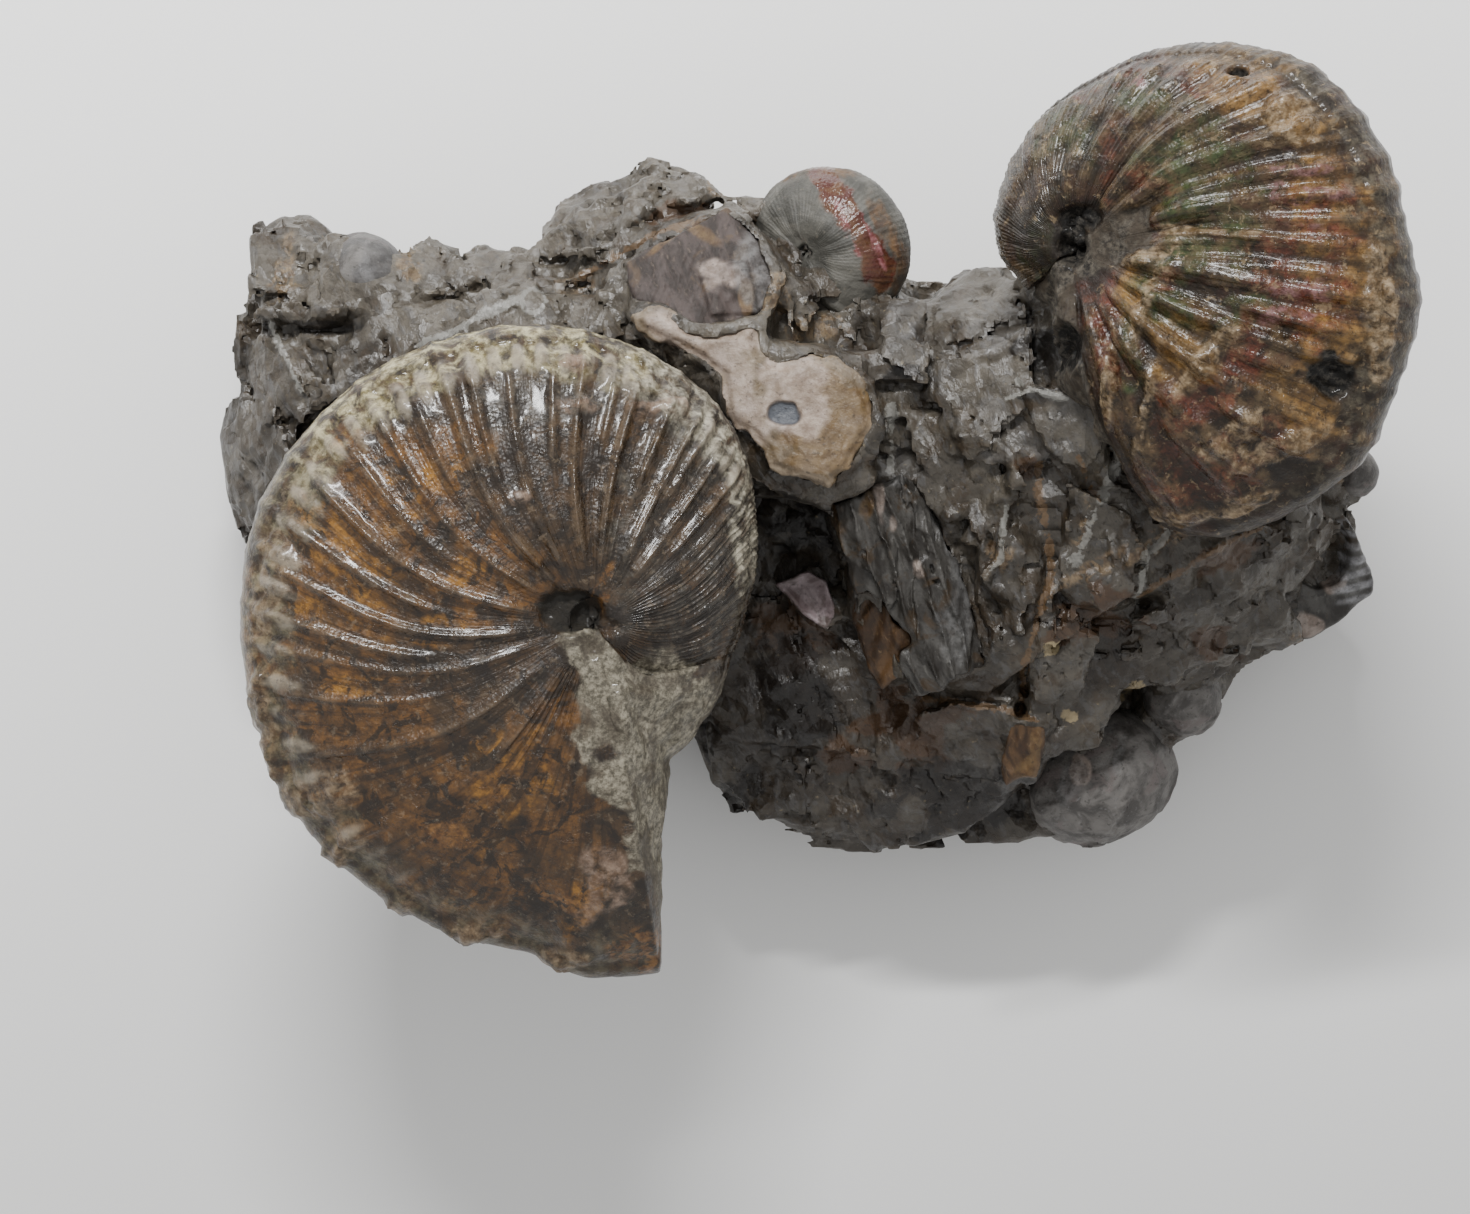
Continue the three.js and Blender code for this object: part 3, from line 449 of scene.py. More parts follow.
# %% Plates and their fields
PLATES = {
    "cream_clam_shell": {
        "outline": [
            (-13.2, 14.0), (-12.2, 14.6), (-11, 14.3), (-10, 13.5), (-9.1, 12.9), (-6.2, 12.8),
            (-5.7, 13.4), (-4.5, 13.5), (-4.8, 12.4), (-4.5, 11.4), (-3.4, 10.6), (-2.2, 10.6),
            (-0.7, 11.2), (0.5, 10.9), (2.3, 9.8), (3.1, 8.2), (3.5, 6.1), (2.6, 5.1), (1.7, 3.3),
            (0.4, 2.2), (-1.6, 2.7), (-3.5, 3.4), (-4, 4.6), (-4.9, 5.8), (-6, 6.2), (-6.7, 7.2), (-7, 9.9),
            (-8.7, 11.2), (-10, 12), (-12.8, 13.2),
        ],
        "height": 30.4, "slope": (0.04, -0.05), "thickness": 2.2, "ragged": 0.3, "grow": 0.3,
    },
    "striated_shell": {
        "outline": [
            (-14.1, 18), (-11.4, 19.6), (-6.9, 22.2), (-4.4, 19.6), (-3.3, 16.8), (-4.4, 14.2), (-8, 13.2),
            (-9.3, 13.4), (-11.4, 14.9), (-13.3, 15.2), (-13.9, 16.8),
        ],
        "height": 27.8, "slope": (0.1, -0.46), "thickness": 2.6, "ragged": 0.2,
    },
    "brown_shell_strip": {
        "outline": [
            (2.6, -5.6), (3.3, -5.4), (4.5, -6.2), (5.2, -7.5), (6.3, -8.5), (6.6, -9.3), (5.8, -9.9),
            (5.6, -11.7), (4.5, -12.5), (3.5, -11.3), (2.9, -9.1), (2.3, -7.2),
        ],
        "height": 23.2, "slope": (0.5, 0.3), "thickness": 2.8, "ragged": 0.15,
    },
    "pink_shell_chip": {
        "outline": [
            (-3.3, -4.9), (-0.9, -4), (0.4, -4.7), (1.3, -7.2), (0.4, -8.3), (-1.2, -7.2), (-2.5, -5.7),
        ],
        "height": 19.6, "slope": (0.14, 0.16), "thickness": 2.6, "ragged": 0.08,
    },
    "amber_shell_chip": {
        "outline": [
            (13.9, -14.8), (16.4, -15.3), (16.2, -17.3), (15.7, -19), (14.8, -19), (13.5, -19.6),
            (13.2, -17.8),
        ],
        "height": 20.6, "slope": (-0.1, 0.36), "thickness": 3.4, "ragged": 0.1,
    },
}
HOLE_SPOT, HOLE_HALF_AXES, HOLE_DEPTH = (-2.8, 7.3), (1.25, 0.95), 0.4
CREAM_STEPS = (0.7, 1.3, 1.9)  # mm in from the edge
STRIATED_LEDGE = [(-8.8, 17.6), (-5.4, 18.2), (-4.6, 14.4), (-7.9, 14.2)]


def cream_hole(x, y):
    """1 in the hole in the cream shell, and 0 from its ragged rim on."""
    (hole_x, hole_y), (wide, high) = HOLE_SPOT, HOLE_HALF_AXES
    away = np.hypot((x - hole_x) / wide, (y - hole_y) / high)
    return 1 - eased(away + 0.3 * layered_noise(flat_points(x, y), 1.3, 2, 19), 0.75, 1.0)


def plate_top(name, x, y):
    """The sloping top of a plate with its own relief: growth lines, steps or a hollow."""
    plate = PLATES[name]
    middle = np.mean(plate["outline"], axis=0)
    top = plate["height"] + (x - middle[0]) * plate["slope"][0] + (y - middle[1]) * plate["slope"][1]
    wave = layered_noise(flat_points(x, y), 2.6, 3, 17)
    inner = -outline_distance(plate["outline"], x, y)
    if name == "cream_clam_shell":
        steps = sum(eased(inner + 0.5 * wave, at, at + 0.12) for at in CREAM_STEPS)
        top = top - HOLE_DEPTH * cream_hole(x, y) + 0.08 * steps * (1 - eased(y, 5, 8)) + 0.13 * wave
        swell = 0.35 * (1 - eased(y, 9.5, 13.5)) * eased(x, -7, -4)
        return top - 0.4 * (1 - eased(inner, 0.0, 0.6)) - 0.25 + swell
    if name == "striated_shell":
        across = (x + 14) * 0.93 + (y - 18) * -0.36
        line = 2.3 * across + 0.4 * wave
        fine = np.abs(np.mod(line, 1) - 0.5) * 2
        right = eased(across, 6.3, 7.0)
        ledge = 0.45 * eased(outline_distance(STRIATED_LEDGE, x, y), -0.1, 0.2)
        return top + 0.13 * fine * (1 - right) + 0.45 * wave * right - ledge * 0.7 + 0.15 * wave
    if name == "pink_shell_chip":
        return top + 0.5 * (1 - eased(inner, 0.0, 0.8)) - 0.2 + 0.12 * wave
    ripple = np.sin((x * 0.9 - y * 0.3) * 6.0 + 2.0 * wave)
    return top + 0.10 * ripple + 0.30 * wave


def plate_field(name, points):
    """The field of a plate: inside its outline and between its top and its underside."""
    plate = PLATES[name]
    x, y, z = np.moveaxis(points, -1, 0)
    edge = outline_distance(plate["outline"], x[:, :, 0], y[:, :, 0])[..., None]
    edge = edge + plate["ragged"] * layered_noise(points, 1.1, 2, 23) - plate.get("grow", 0)
    top = plate_top(name, x[:, :, 0], y[:, :, 0])[..., None]
    half = plate["thickness"] / 2
    return soft_max(edge, np.abs(top - half - z) - half, 0.3)


# %% Ribbed fragment, broken whorl and moulds
RIBBED = {
    "start": (3.5, 1.9, 26.4), "end": (9.4, -12.0, 23.0), "half_width": 3.7, "thickness": 4.8, "ribs": 4.5,
    "widths": (0.79, 0.91, 0.98, 1, 0.96, 0.87, 0.74),  # at even steps from the start to the end
}
WHORL_TOP = [
    (33.4, -2.2, 16.2), (35.4, -0.2, 16.8), (37.4, 1.5, 16.8), (39.2, -0.6, 15.8), (41.4, -4.4, 14),
    (41.4, -5.5, 13.4), (38.6, -8.1, 12.6), (37.1, -9.1, 12.4), (35.2, -9.2, 12.6), (33.2, -6.6, 14),
]
WHORL_FOOT, WHORL_SHARE = 7, 0.8
WHORL_HOLLOW = ((36.9, -2.9, 16.8), (2.5, 2.9, 5.0))
# centre, half axes and turn about Z
MOULDS = {
    "smooth_clam_mould": ((-33.1, 17.2, 16.6), (3.0, 3.7, 4.9), 20),
    "dark_clam_mould": ((21.0, -19.2, 9.4), (5.8, 4.8, 5.9), 35),
    "small_clam_mould": ((27.0, -13.2, 11.4), (2.9, 3.0, 3.4), 0),
    "round_shell_stub": ((39.4, 3.3, 16.4), (1.5, 1.8, 1.8), 0),
}
BROKEN_MOULDS = {"dark_clam_mould": 0.25, "small_clam_mould": 0.15}  # height of the chips, mm
WHOLE_MOULD = 0.05
MOULD_SLANT = [(0.6, 0.8, 0), (0.8, -0.6, 0), (0, 0, 1)]


def egg_field(centre, half_axes, turn, points):
    """Roughly the distance to an egg shape turned about Z."""
    c, s = math.cos(math.radians(turn)), math.sin(math.radians(turn))
    dx, dy, dz = np.moveaxis(points - np.array(centre), -1, 0)
    a, b, h = half_axes
    reach = np.sqrt(((dx * c + dy * s) / a) ** 2 + ((dy * c - dx * s) / b) ** 2 + (dz / h) ** 2)
    return (reach - 1) * min(half_axes)


def ribbed_field(points):
    """A strip of ribbed shell with a crowned top and ribs along it, cut away under the brown strip."""
    x, y, z = np.moveaxis(points, -1, 0)
    sx, sy, sz = RIBBED["start"]
    ex, ey, ez = RIBBED["end"]
    length = math.hypot(ex - sx, ey - sy)
    t = ((x - sx) * (ex - sx) + (y - sy) * (ey - sy)) / length**2
    across = ((y - sy) * (ex - sx) - (x - sx) * (ey - sy)) / length
    half = RIBBED["half_width"] * np.interp(t, np.linspace(0, 1, 7), RIBBED["widths"])
    wave = layered_noise(points * np.array([1.4, 0.6, 1.0]), 1.7, 3, 41)
    share = across / half
    rib = np.abs(np.sin(math.pi * (RIBBED["ribs"] * (share + 1) / 2 + 0.22 * wave + 0.5 * t)))
    top = sz + (ez - sz) * t + 1.3 * (1 - share**2) + 0.62 * (1 - rib) ** 1.5 + 0.3 * wave
    step = 0.5 * eased(wave + 0.6 * np.sin(5 * t + 2 * share), 0.25, 0.4)
    edge = np.maximum(np.abs(across) - half, np.maximum(-t, t - 1) * length) + 0.4 * wave
    thick = RIBBED["thickness"] / 2
    strip = np.minimum.accumulate(plate_field("brown_shell_strip", points), axis=2)
    return np.maximum(soft_max(edge, np.abs(top - step - thick - z) - thick, 0.35), -strip - 0.1)


def whorl_stripes(points):
    """Pearly stripes across the whorl's outer wall, from 0 to 1."""
    x, y, z = np.moveaxis(points, -1, 0)
    return (0.5 + 0.5 * np.sin(5.2 * (y + 0.45 * z - 0.2 * x))) * eased(x, 37.4, 38.6) * eased(y, -7.0, -5.6)


def whorl_field(points):
    """The broken end of a small whorl: a convex block with a hollow and pearly ribs on its outer wall."""
    corners = np.array(WHORL_TOP, float)
    normals, offsets = hull_planes(np.concatenate([corners, ring_at(corners, WHORL_SHARE, WHORL_FOOT)]))
    block = np.full(points.shape[:-1], DEEP, np.float32)
    for normal, offset in zip(normals, offsets):
        block = soft_max(block, points @ normal - offset, 0.5)
    stripes = 0.05 * whorl_stripes(points)
    hollow = egg_field(*WHORL_HOLLOW, 0, points) + 0.15 * layered_noise(points, 1.2, 2, 52)
    rim = 0.28 * np.exp(-((hollow - 0.5) ** 2) / 0.12) * eased(points[..., 2], 13, 15)
    rough = 0.14 * layered_noise(points, 2.4, 3, 51)
    return soft_max(block + 0.1 - stripes - rim + rough, -hollow, 0.25)


def mould_field(name, points):
    """An egg with broad dents and faint growth lines. Two of the moulds are broken into chips."""
    centre, half_axes, turn = MOULDS[name]
    broken = BROKEN_MOULDS.get(name, WHOLE_MOULD)
    slanted = points @ np.array(MOULD_SLANT) - np.array([3, 1, 0])
    wave = layered_noise(points, 3.2, 2, 61)
    beak = np.array(centre) - np.array([0, half_axes[1], 0])
    lines = np.sin(7.0 * np.linalg.norm(points - beak, axis=-1))
    chip = broken * chips(slanted, (5.0, 2.0, 3.0), 63)
    return egg_field(centre, half_axes, turn, points) + 0.2 * wave + 0.02 * lines + chip - broken / 3


def scrap_field(name, points):
    """The field of any scrap by its solid's name."""
    if name in PLATES:
        return plate_field(name, points)
    if name in MOULDS:
        return mould_field(name, points)
    return ribbed_field(points) if name == "ribbed_shell_fragment" else whorl_field(points)

# %% [markdown]
# ## The rock
# Mudstone breaks into flat-faced blocks, plates and chips. Each block here is the space behind the planes of
# its convex hull, with its top corners as on the solid and a smaller foot. A block that stands low also has a
# belly, so that its sides don't lean in evenly.

# %% Blocks of rock
BELLY_BELOW, BELLY_RISE, BELLY_REACH = 4, 0.45, 0.75
# name: height of the foot, its size as a share of the top, and the top's corners (x, y, z) in mm
ROCK_BLOCKS = {
    "upper_left_knob": (5, 0.86, [
        (-41.5, 16, 18), (-41.5, 18.5, 16), (-41.5, 21.5, 15), (-40, 22.5, 15), (-38, 22.5, 16),
        (-36, 21, 17), (-34.5, 18.5, 19), (-34.5, 15.5, 20), (-38, 15, 20),
    ]),
    "left_shelf": (8, 0.9, [
        (-41, 15.5, 18.5), (-34.5, 15, 21.5), (-34, 13.5, 21.5), (-38, 13, 20.5), (-41, 14, 18.5),
        (-42, 14.5, 17),
    ]),
    "left_lobe_upper": (3, 0.86, [
        (-43, 14.5, 14), (-41, 13.5, 18), (-38, 12.5, 20), (-35, 8.5, 22), (-37.5, 6.5, 21),
        (-41.5, 8.5, 16), (-43.5, 11, 13),
    ]),
    "left_lobe_lower": (2, 0.84, [
        (-43.5, 9, 13), (-41.5, 9, 16), (-39, 6.5, 20), (-38, 3.5, 21), (-40, -0.5, 19), (-42.5, -1.5, 15),
        (-43.5, 2, 12), (-44, 6, 12),
    ]),
    "lumps": (8, 0.86, [
        (-30, 20, 18), (-28.5, 20.5, 18), (-26.5, 20, 19), (-26, 16.5, 22), (-28.5, 15.5, 22),
        (-30, 16.5, 21),
    ]),
    "lumps_right": (8, 0.88, [
        (-26.5, 19.5, 18), (-25, 20, 18), (-22, 20, 19), (-20.5, 19.5, 20), (-20.5, 16.5, 23.5),
        (-23, 15.5, 23), (-26, 16.5, 22),
    ]),
    "shelf_behind": (8, 0.84, [
        (-34.5, 14, 21), (-34, 15.5, 20.5), (-30, 16.5, 21.5), (-21, 16, 24.5), (-16, 15.5, 26.5),
        (-12.5, 12.5, 27.5), (-19, 11.5, 26), (-24.5, 11, 25), (-29, 9, 24), (-33.5, 7, 22.5),
        (-35.5, 8.5, 21.5),
    ]),
    "peak_block": (5, 0.86, [
        (-20, 18.5, 21), (-20, 21, 17), (-19, 23, 16), (-16, 24.5, 16), (-12.5, 26, 16.5),
        (-10, 25.5, 17.5), (-6.5, 23, 22), (-7, 20, 22.5), (-8.5, 22.5, 24), (-12.5, 21.5, 24.5),
        (-16, 20.5, 24), (-15.5, 18.5, 23),
    ]),
    "striated_block": (12, 0.9, [
        (-14.5, 18, 24.5), (-11.5, 20, 24.5), (-6.5, 22.5, 23), (-4.5, 20, 25.5), (-3, 17, 28),
        (-4.5, 13.5, 29), (-8.5, 12, 29), (-13.5, 13.5, 27.5), (-16, 15.5, 26),
    ]),
    "top_shoulder": (8, 0.86, [
        (-6, 23.5, 19), (-4.5, 23.5, 18), (-3, 22.5, 19), (1, 16.5, 24), (-1.5, 13, 27), (-3.5, 16, 27),
        (-5, 20, 25),
    ]),
    "cream_block": (19, 0.84, [
        (-13.5, 13.5, 28), (-8.5, 12.5, 29.5), (-4.5, 12.5, 29.5), (3, 11.5, 28.5), (3.5, 9, 29.5),
        (4, 4.5, 30), (4, 2.5, 29.5), (3, 1, 28.5), (1, 0.5, 28), (-1.5, 1, 28.5), (-5, 2.5, 28.5),
        (-6, 6, 29.5), (-9, 10, 29), (-12.5, 12, 28),
    ]),
    "cream_root": (8, 0.9, [
        (-13, 15.5, 24), (-3, 17, 24), (3, 13.5, 24), (3, 5.5, 24), (0, 3.5, 23), (-4.5, 4.5, 23),
        (-9.5, 10, 24),
    ]),
    "small_block_front": (20, 0.84, [
        (4, 12, 27), (4.5, 13, 27), (7, 13, 27), (8, 12, 28), (8, 11, 28.5), (7.5, 9.5, 28.5),
        (5.5, 10, 28), (4, 11, 27.5),
    ]),
    "small_block_back": (12, 0.88, [
        (2, 16, 23), (4.5, 17, 23), (6, 16.5, 24), (7.5, 15.5, 25), (7.5, 13, 26.5), (5, 12.5, 26.5),
        (3, 14, 26),
    ]),
    "neck": (5, 0.84, [
        (7, 15.5, 23), (9, 17, 21), (11, 18.5, 20.5), (13.5, 18.5, 21), (14.5, 16, 25), (15, 14, 27),
        (11.5, 12.5, 27.5), (8.5, 11.5, 27.5), (6.5, 13, 26),
    ]),
    "plate_upper": (12, 0.86, [
        (7.5, 11, 27), (11.5, 12.5, 28.5), (15, 13.5, 29.5), (15, 9, 30.5), (13.5, 5.5, 30), (10, 7, 28),
        (6.5, 8, 26.5),
    ]),
    "plate_lower": (10, 0.86, [
        (5.5, 8, 26), (10, 8, 28), (13.5, 5.5, 30), (15.5, 1, 29.5), (13.5, -3, 28.5), (10, -2, 27),
        (6.5, 2.5, 26),
    ]),
    "smooth_plate": (18, 0.88, [
        (14, 8.5, 31), (17, 9, 31.5), (19.5, 8, 32), (20.5, 6.5, 32), (20, 3.5, 31), (18, 2, 30.5),
        (15.5, 4.5, 30.5),
    ]),
    "middle_mass": (8, 0.86, [
        (0.5, 6, 24), (8.5, 7, 25), (17, 7, 27), (18, -3, 27), (15.5, -9.5, 25), (12, -12.5, 21.5),
        (8, -12, 20.5), (4.5, -9, 18.5), (2, -3, 19), (0.5, 1, 21),
    ]),
    "cracked_plate": (14, 0.9, [
        (12, -0.5, 28.5), (15, 1, 29), (15.5, -2, 29), (15.5, -5.5, 28), (15, -9, 26.5), (12.5, -9.5, 25.5),
        (11, -5.5, 26.5),
    ]),
    "plate_right_of_crack": (14, 0.88, [
        (16, 4.5, 30), (19.5, 3, 30.5), (23.5, 1, 29.5), (24, -3, 28.5), (20.5, -7, 27), (17, -9, 25.5),
        (16.5, -5.5, 27.5), (16.5, -1, 29),
    ]),
    "recess_floor": (4, 0.86, [
        (-9, -3, 15), (-5, 3.5, 18), (2, 2, 18.5), (3.5, -6, 18), (1.5, -12, 16.5), (-3.5, -12.5, 15.5),
        (-8, -12.5, 13), (-9, -9, 13),
    ]),
    "lower_middle": (1, 0.84, [
        (-5.5, -6, 16.5), (0.5, -5.5, 18), (5, -9, 19.5), (12, -13, 21), (16, -13.5, 21), (17, -16.5, 19),
        (14.5, -20, 16), (10.5, -23, 13.5), (4.5, -24.5, 11.5), (-1.5, -23.5, 11.5), (-5.5, -22, 11.5),
        (-7.5, -19.5, 11), (-8, -15.5, 12.5), (-7.5, -11, 15),
    ]),
    "lower_ledge": (10, 0.88, [
        (7.5, -14, 20.5), (14, -14, 21), (14.5, -16.5, 19.5), (13.5, -19, 17.5), (9, -19, 17),
        (7, -16.5, 18),
    ]),
    "lower_plate": (6, 0.88, [
        (15, -10, 23.5), (20, -10, 23), (22, -13.5, 20.5), (20, -16.5, 18.5), (17, -17, 18.5),
        (15, -14.5, 20),
    ]),
    "purple_ledge": (8, 0.88, [
        (16.5, -9, 24.5), (23.5, -8.5, 24), (32.5, -9.5, 18), (30.5, -11, 17), (25, -11.5, 19),
        (19.5, -13, 21), (16, -13, 22),
    ]),
    "brown_block": (7, 0.86, [
        (23.5, 1, 28.5), (25.5, -1, 28), (30, -2, 26.5), (34.5, -1, 24.5), (37, 1, 22), (38.5, -1, 18.5),
        (35, -5.5, 19), (30.5, -6, 22.5), (23.5, -7.5, 25), (20, -6, 26.5), (17.5, -3, 28),
    ]),
    "green_block": (5, 0.86, [
        (21.5, -7, 25), (27.5, -4.5, 25), (34, -5.5, 20), (35.5, -9, 15.5), (32.5, -10, 16.5),
        (26, -10.5, 20.5), (21, -10, 23),
    ]),
    "shell_support": (6, 0.84, [
        (13.5, 16.5, 24), (17.5, 22, 23.5), (21, 25.5, 23), (27.5, 26, 25), (33.5, 20.5, 27.5),
        (36.5, 13.5, 28), (38, 6, 24.5), (37.5, 1.5, 21), (30, -0.5, 26), (23.5, 1, 28.5), (17, 8, 29.5),
    ]),
    "peg_support": (8, 0.9, [
        (35, 5.5, 19), (38.5, 5, 17.5), (39, 3.5, 17), (39, 1.5, 16.5), (36.5, 1, 19), (34, 2.5, 20),
    ]),
    "shell_seat": (8, 0.84, [
        (-32, -0.5, 22.5), (-29, 7, 24.5), (-21.5, 10.5, 26), (-13, 12, 27.5), (-6, 7, 27.5),
        (-5.5, -0.5, 25.5), (-6, -7.5, 23), (-9.5, -13, 20), (-19, -15, 20), (-28.5, -9.5, 21.5),
    ]),
    "under_shell": (3, 0.84, [
        (-38.5, -1, 21), (-38, -8, 21.5), (-34.5, -14.5, 21), (-28.5, -19, 20.5), (-21, -21.5, 20),
        (-14.5, -20.5, 19), (-13, -15.5, 19.5), (-9.5, -11, 20), (-20, 2, 22),
    ]),
    "base_left": (0, 0.86, [
        (-42.5, 18, 11), (-36, 18.5, 12), (-20.5, 18.5, 12), (-13, 20.5, 12), (-4.5, 20.5, 12),
        (10.5, 7.5, 12), (8.5, -6, 11), (-7.5, -13, 10), (-14.5, -18, 9.5), (-25, -18.5, 9),
        (-35, -13, 8.5), (-41, -5, 8), (-43.5, 6, 9),
    ]),
    "base_right": (0, 0.84, [
        (-16, 20, 12), (-6, 19, 12), (8.5, 16, 12), (28.5, 14.5, 12), (36.5, 11.5, 12.5), (38.5, 3.5, 12.5),
        (37, -5.5, 12), (31.5, -9, 11), (26, -16, 10.5), (20, -21, 10), (14.5, -24, 9.5), (1, -24.5, 9),
        (-6.5, -22, 8.5), (-8.5, -17, 8.5), (-13.5, -3, 10),
    ]),
    "base_back": (0, 0.84, [
        (14, 11, 12), (16, 18.5, 12), (19.5, 22, 12), (26.5, 24, 12.5), (33.5, 19.5, 13), (37.5, 12, 13),
        (37, 4, 12.5), (20, 3, 12),
    ]),
    "right_skirt": (4, 0.9, [
        (34.5, -6, 13), (36, 1, 15), (39, 0, 14), (39.5, -3, 13), (37, -6, 12), (35, -7.5, 12),
    ]),
}


def block_planes(foot, share, top):
    """The planes of one block: its top corners, a belly if it stands low, and its foot."""
    top = np.array(top, float)
    rings = [top, ring_at(top, share, foot)]
    if foot < BELLY_BELOW:
        height = foot + (top[:, 2].min() - foot) * BELLY_RISE
        rings.append(ring_at(top, share + (1 - share) * BELLY_REACH, height))
    return hull_planes(np.concatenate(rings))


blocks = {name: block_planes(*values) for name, values in ROCK_BLOCKS.items()}
print(len(blocks), "blocks with", sum(len(offset) for _, offset in blocks.values()), "faces")

# %% [markdown]
# The field of the rock is the smallest of the blocks' fields, and the second smallest says where two blocks
# meet. Mud fills the narrow gaps between blocks to a little under their tops.

# %% Field of the rock
STEP = 0.32
MARGIN = 2.2


def blocks_field(axes):
    """Nearest block's field, second nearest block's, how steep the face is and which block it is."""
    shape = tuple(len(a) for a in axes)
    nearest = np.full(shape, FAR, np.float32)
    second = np.full(shape, FAR, np.float32)
    steep = np.zeros(shape, np.float32)
    owner = np.zeros(shape, np.int16)
    for number, (name, (normals, offsets)) in enumerate(blocks.items()):
        top = np.array(ROCK_BLOCKS[name][2], float)
        low = np.append(top[:, :2].min(axis=0), ROCK_BLOCKS[name][0]) - MARGIN
        high = top.max(axis=0) + MARGIN
        box = tuple(slice(*np.searchsorted(a, (l, h))) for a, l, h in zip(axes, low, high))
        x, y, z = np.meshgrid(*(a[b] for a, b in zip(axes, box)), indexing="ij", sparse=True)
        distance = np.full(nearest[box].shape, DEEP, np.float32)
        slope = np.zeros_like(distance)
        for (nx, ny, nz), offset in zip(normals.astype(np.float32), offsets.astype(np.float32)):
            plane = nx * x + ny * y + nz * z - offset
            further = plane > distance
            distance = np.where(further, plane, distance)
            slope = np.where(further, 1 - abs(nz), slope)
        closer = distance < nearest[box]
        second[box] = np.where(closer, nearest[box], np.minimum(second[box], distance))
        nearest[box] = np.where(closer, distance, nearest[box])
        steep[box] = np.where(closer, slope, steep[box])
        owner[box] = np.where(closer, number, owner[box])
    return nearest, second, steep, owner


low, high = (np.array(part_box("matrix_rock")[k]) / MM for k in (0, 1))
axes = [np.arange(l - 2 * STEP, h + 3 * STEP, STEP, dtype=np.float32) for l, h in zip(low, high)]
rock_start = np.array([a[0] for a in axes])
nearest, second, steep, owner = blocks_field(axes)


def spread(height, reach, pick):
    """The picked value, largest or smallest, in a square window round each place of a height map."""
    for axis in (0, 1):
        ends = [(reach, reach) if a == axis else (0, 0) for a in (0, 1)]
        padded = np.pad(height, ends, mode="edge")
        count = height.shape[axis]
        moved = [np.take(padded, np.arange(k, k + count), axis=axis) for k in range(2 * reach + 1)]
        height = pick.reduce(moved)
    return height


def shallow_gaps(field, width, depth):
    """Gaps narrower than the width filled by a layer of mud, a little under the blocks at their sides.

    The layer keeps away from the rock's outline, so that its sides stay as the blocks leave them.
    """
    inside = field < 0
    last = inside.shape[2] - 1 - np.argmax(inside[:, :, ::-1], axis=2)
    solid = inside.any(axis=2)
    height = np.where(solid, axes[2][last], 0)
    core = spread(solid.astype(np.float32), round(GAP_BORDER / STEP), np.minimum) > 0.5
    reach = max(1, round(width / 2 / STEP))
    wide = spread(spread(np.pad(height, reach), reach, np.maximum), reach, np.minimum)
    filled = np.where(core, wide[reach:-reach, reach:-reach] - depth, -9)[..., None]
    layer = np.maximum(axes[2] - filled, filled - GAP_LAYER - axes[2])
    return np.minimum(field, layer).astype(np.float32)


UNION_BLEND = 0.9
GAP_WIDTH, GAP_DEPTH, GAP_BORDER, GAP_LAYER = 3.2, 0.9, 1.5, 5.0
joined = np.minimum(nearest, soft_min(nearest, second, UNION_BLEND))
nearest = shallow_gaps(joined, GAP_WIDTH, GAP_DEPTH)
print("grid", nearest.shape, "with", int((nearest < 0).sum()), "cells inside")

# %% [markdown]
# Chips of three sizes, splinters and flaked ledges roughen every face. Steep faces get thin layers as well,
# because mudstone is laid down in beds. Where blocks meet there is a crease, and cracks run along paths. The
# edges of thin shells and thin mineral seams stand up from the rock a little as white and tan lines.

# %% Chips, beds and cracks
# blocks whose faces are smooth, and how rough they are against the rest
SMOOTH_BLOCKS = {
    "smooth_plate": 0.35, "plate_upper": 0.5, "neck": 0.6, "small_block_front": 0.5, "cream_block": 0.5,
}
# size of the chips along x, y and z, their height and their salt
CHIP_LAYERS = [((9, 8, 5), 0.75, 11), ((4.2, 3.6, 2.2), 0.5, 31), ((1.9, 1.7, 1.0), 0.2, 51)]
BED_THICKNESS, BED_DEPTH = 3.1, 0.45
BASE_DROP, BASE_NOISE, LEDGE_HEIGHT = 0.25, 0.12, 0.9
SPLINTER_SIZE, SPLINTER_HEIGHT = (2.2, 8.0, 3.0), 0.45
SPLINTER_AXES = [(0.92, 0.4, 0), (0.4, -0.92, 0), (0, 0, 1)]
CREASE_DEPTH, CREASE_WIDTH = 0.3, 0.7
CRACK_DEPTH, CRACK_WIDTH = 1.3, 0.5
LINE_HEIGHT, LINE_SPREAD = 0.35, 1.6
BAND = 1.6  # how far from the blocks' faces the relief reaches
MOST_RAISED = 0.45
# paths (x, y) in mm, and for lines their width first
CRACKS = [
    [(15.5, 3.3), (15.9, 0.0), (16.3, -1.9), (16.5, -3.9), (15.6, -7.2), (14.7, -10.6), (14.7, -14.3)],
    [(12.9, 3.3), (11.1, 1.1), (9.6, -2.1), (10.8, -5.4), (12.9, -6.8), (13.6, -9.0)],
    [(17.1, 5.4), (18.5, 2.9), (19.8, 0.7)],
    [(7.6, -12.9), (11.5, -13.5), (14.4, -14.2)],
    [(-4.6, 21.2), (-3.3, 19.7), (-1.5, 17.4)],
    [(-3.3, 21.7), (-2.3, 20.6), (-0.7, 18.9)],
    [(-17.7, 19.7), (-14.4, 20.5), (-10.9, 21.8), (-7.6, 22.5)],
    [(-40.8, 14.3), (-37.7, 13.5), (-34.5, 13.6)],
    [(17.2, -6.1), (20.1, -7.5), (23.7, -6.1)],
    [(21.6, 1.1), (23.7, -0.3), (25.5, 0.0)],
]
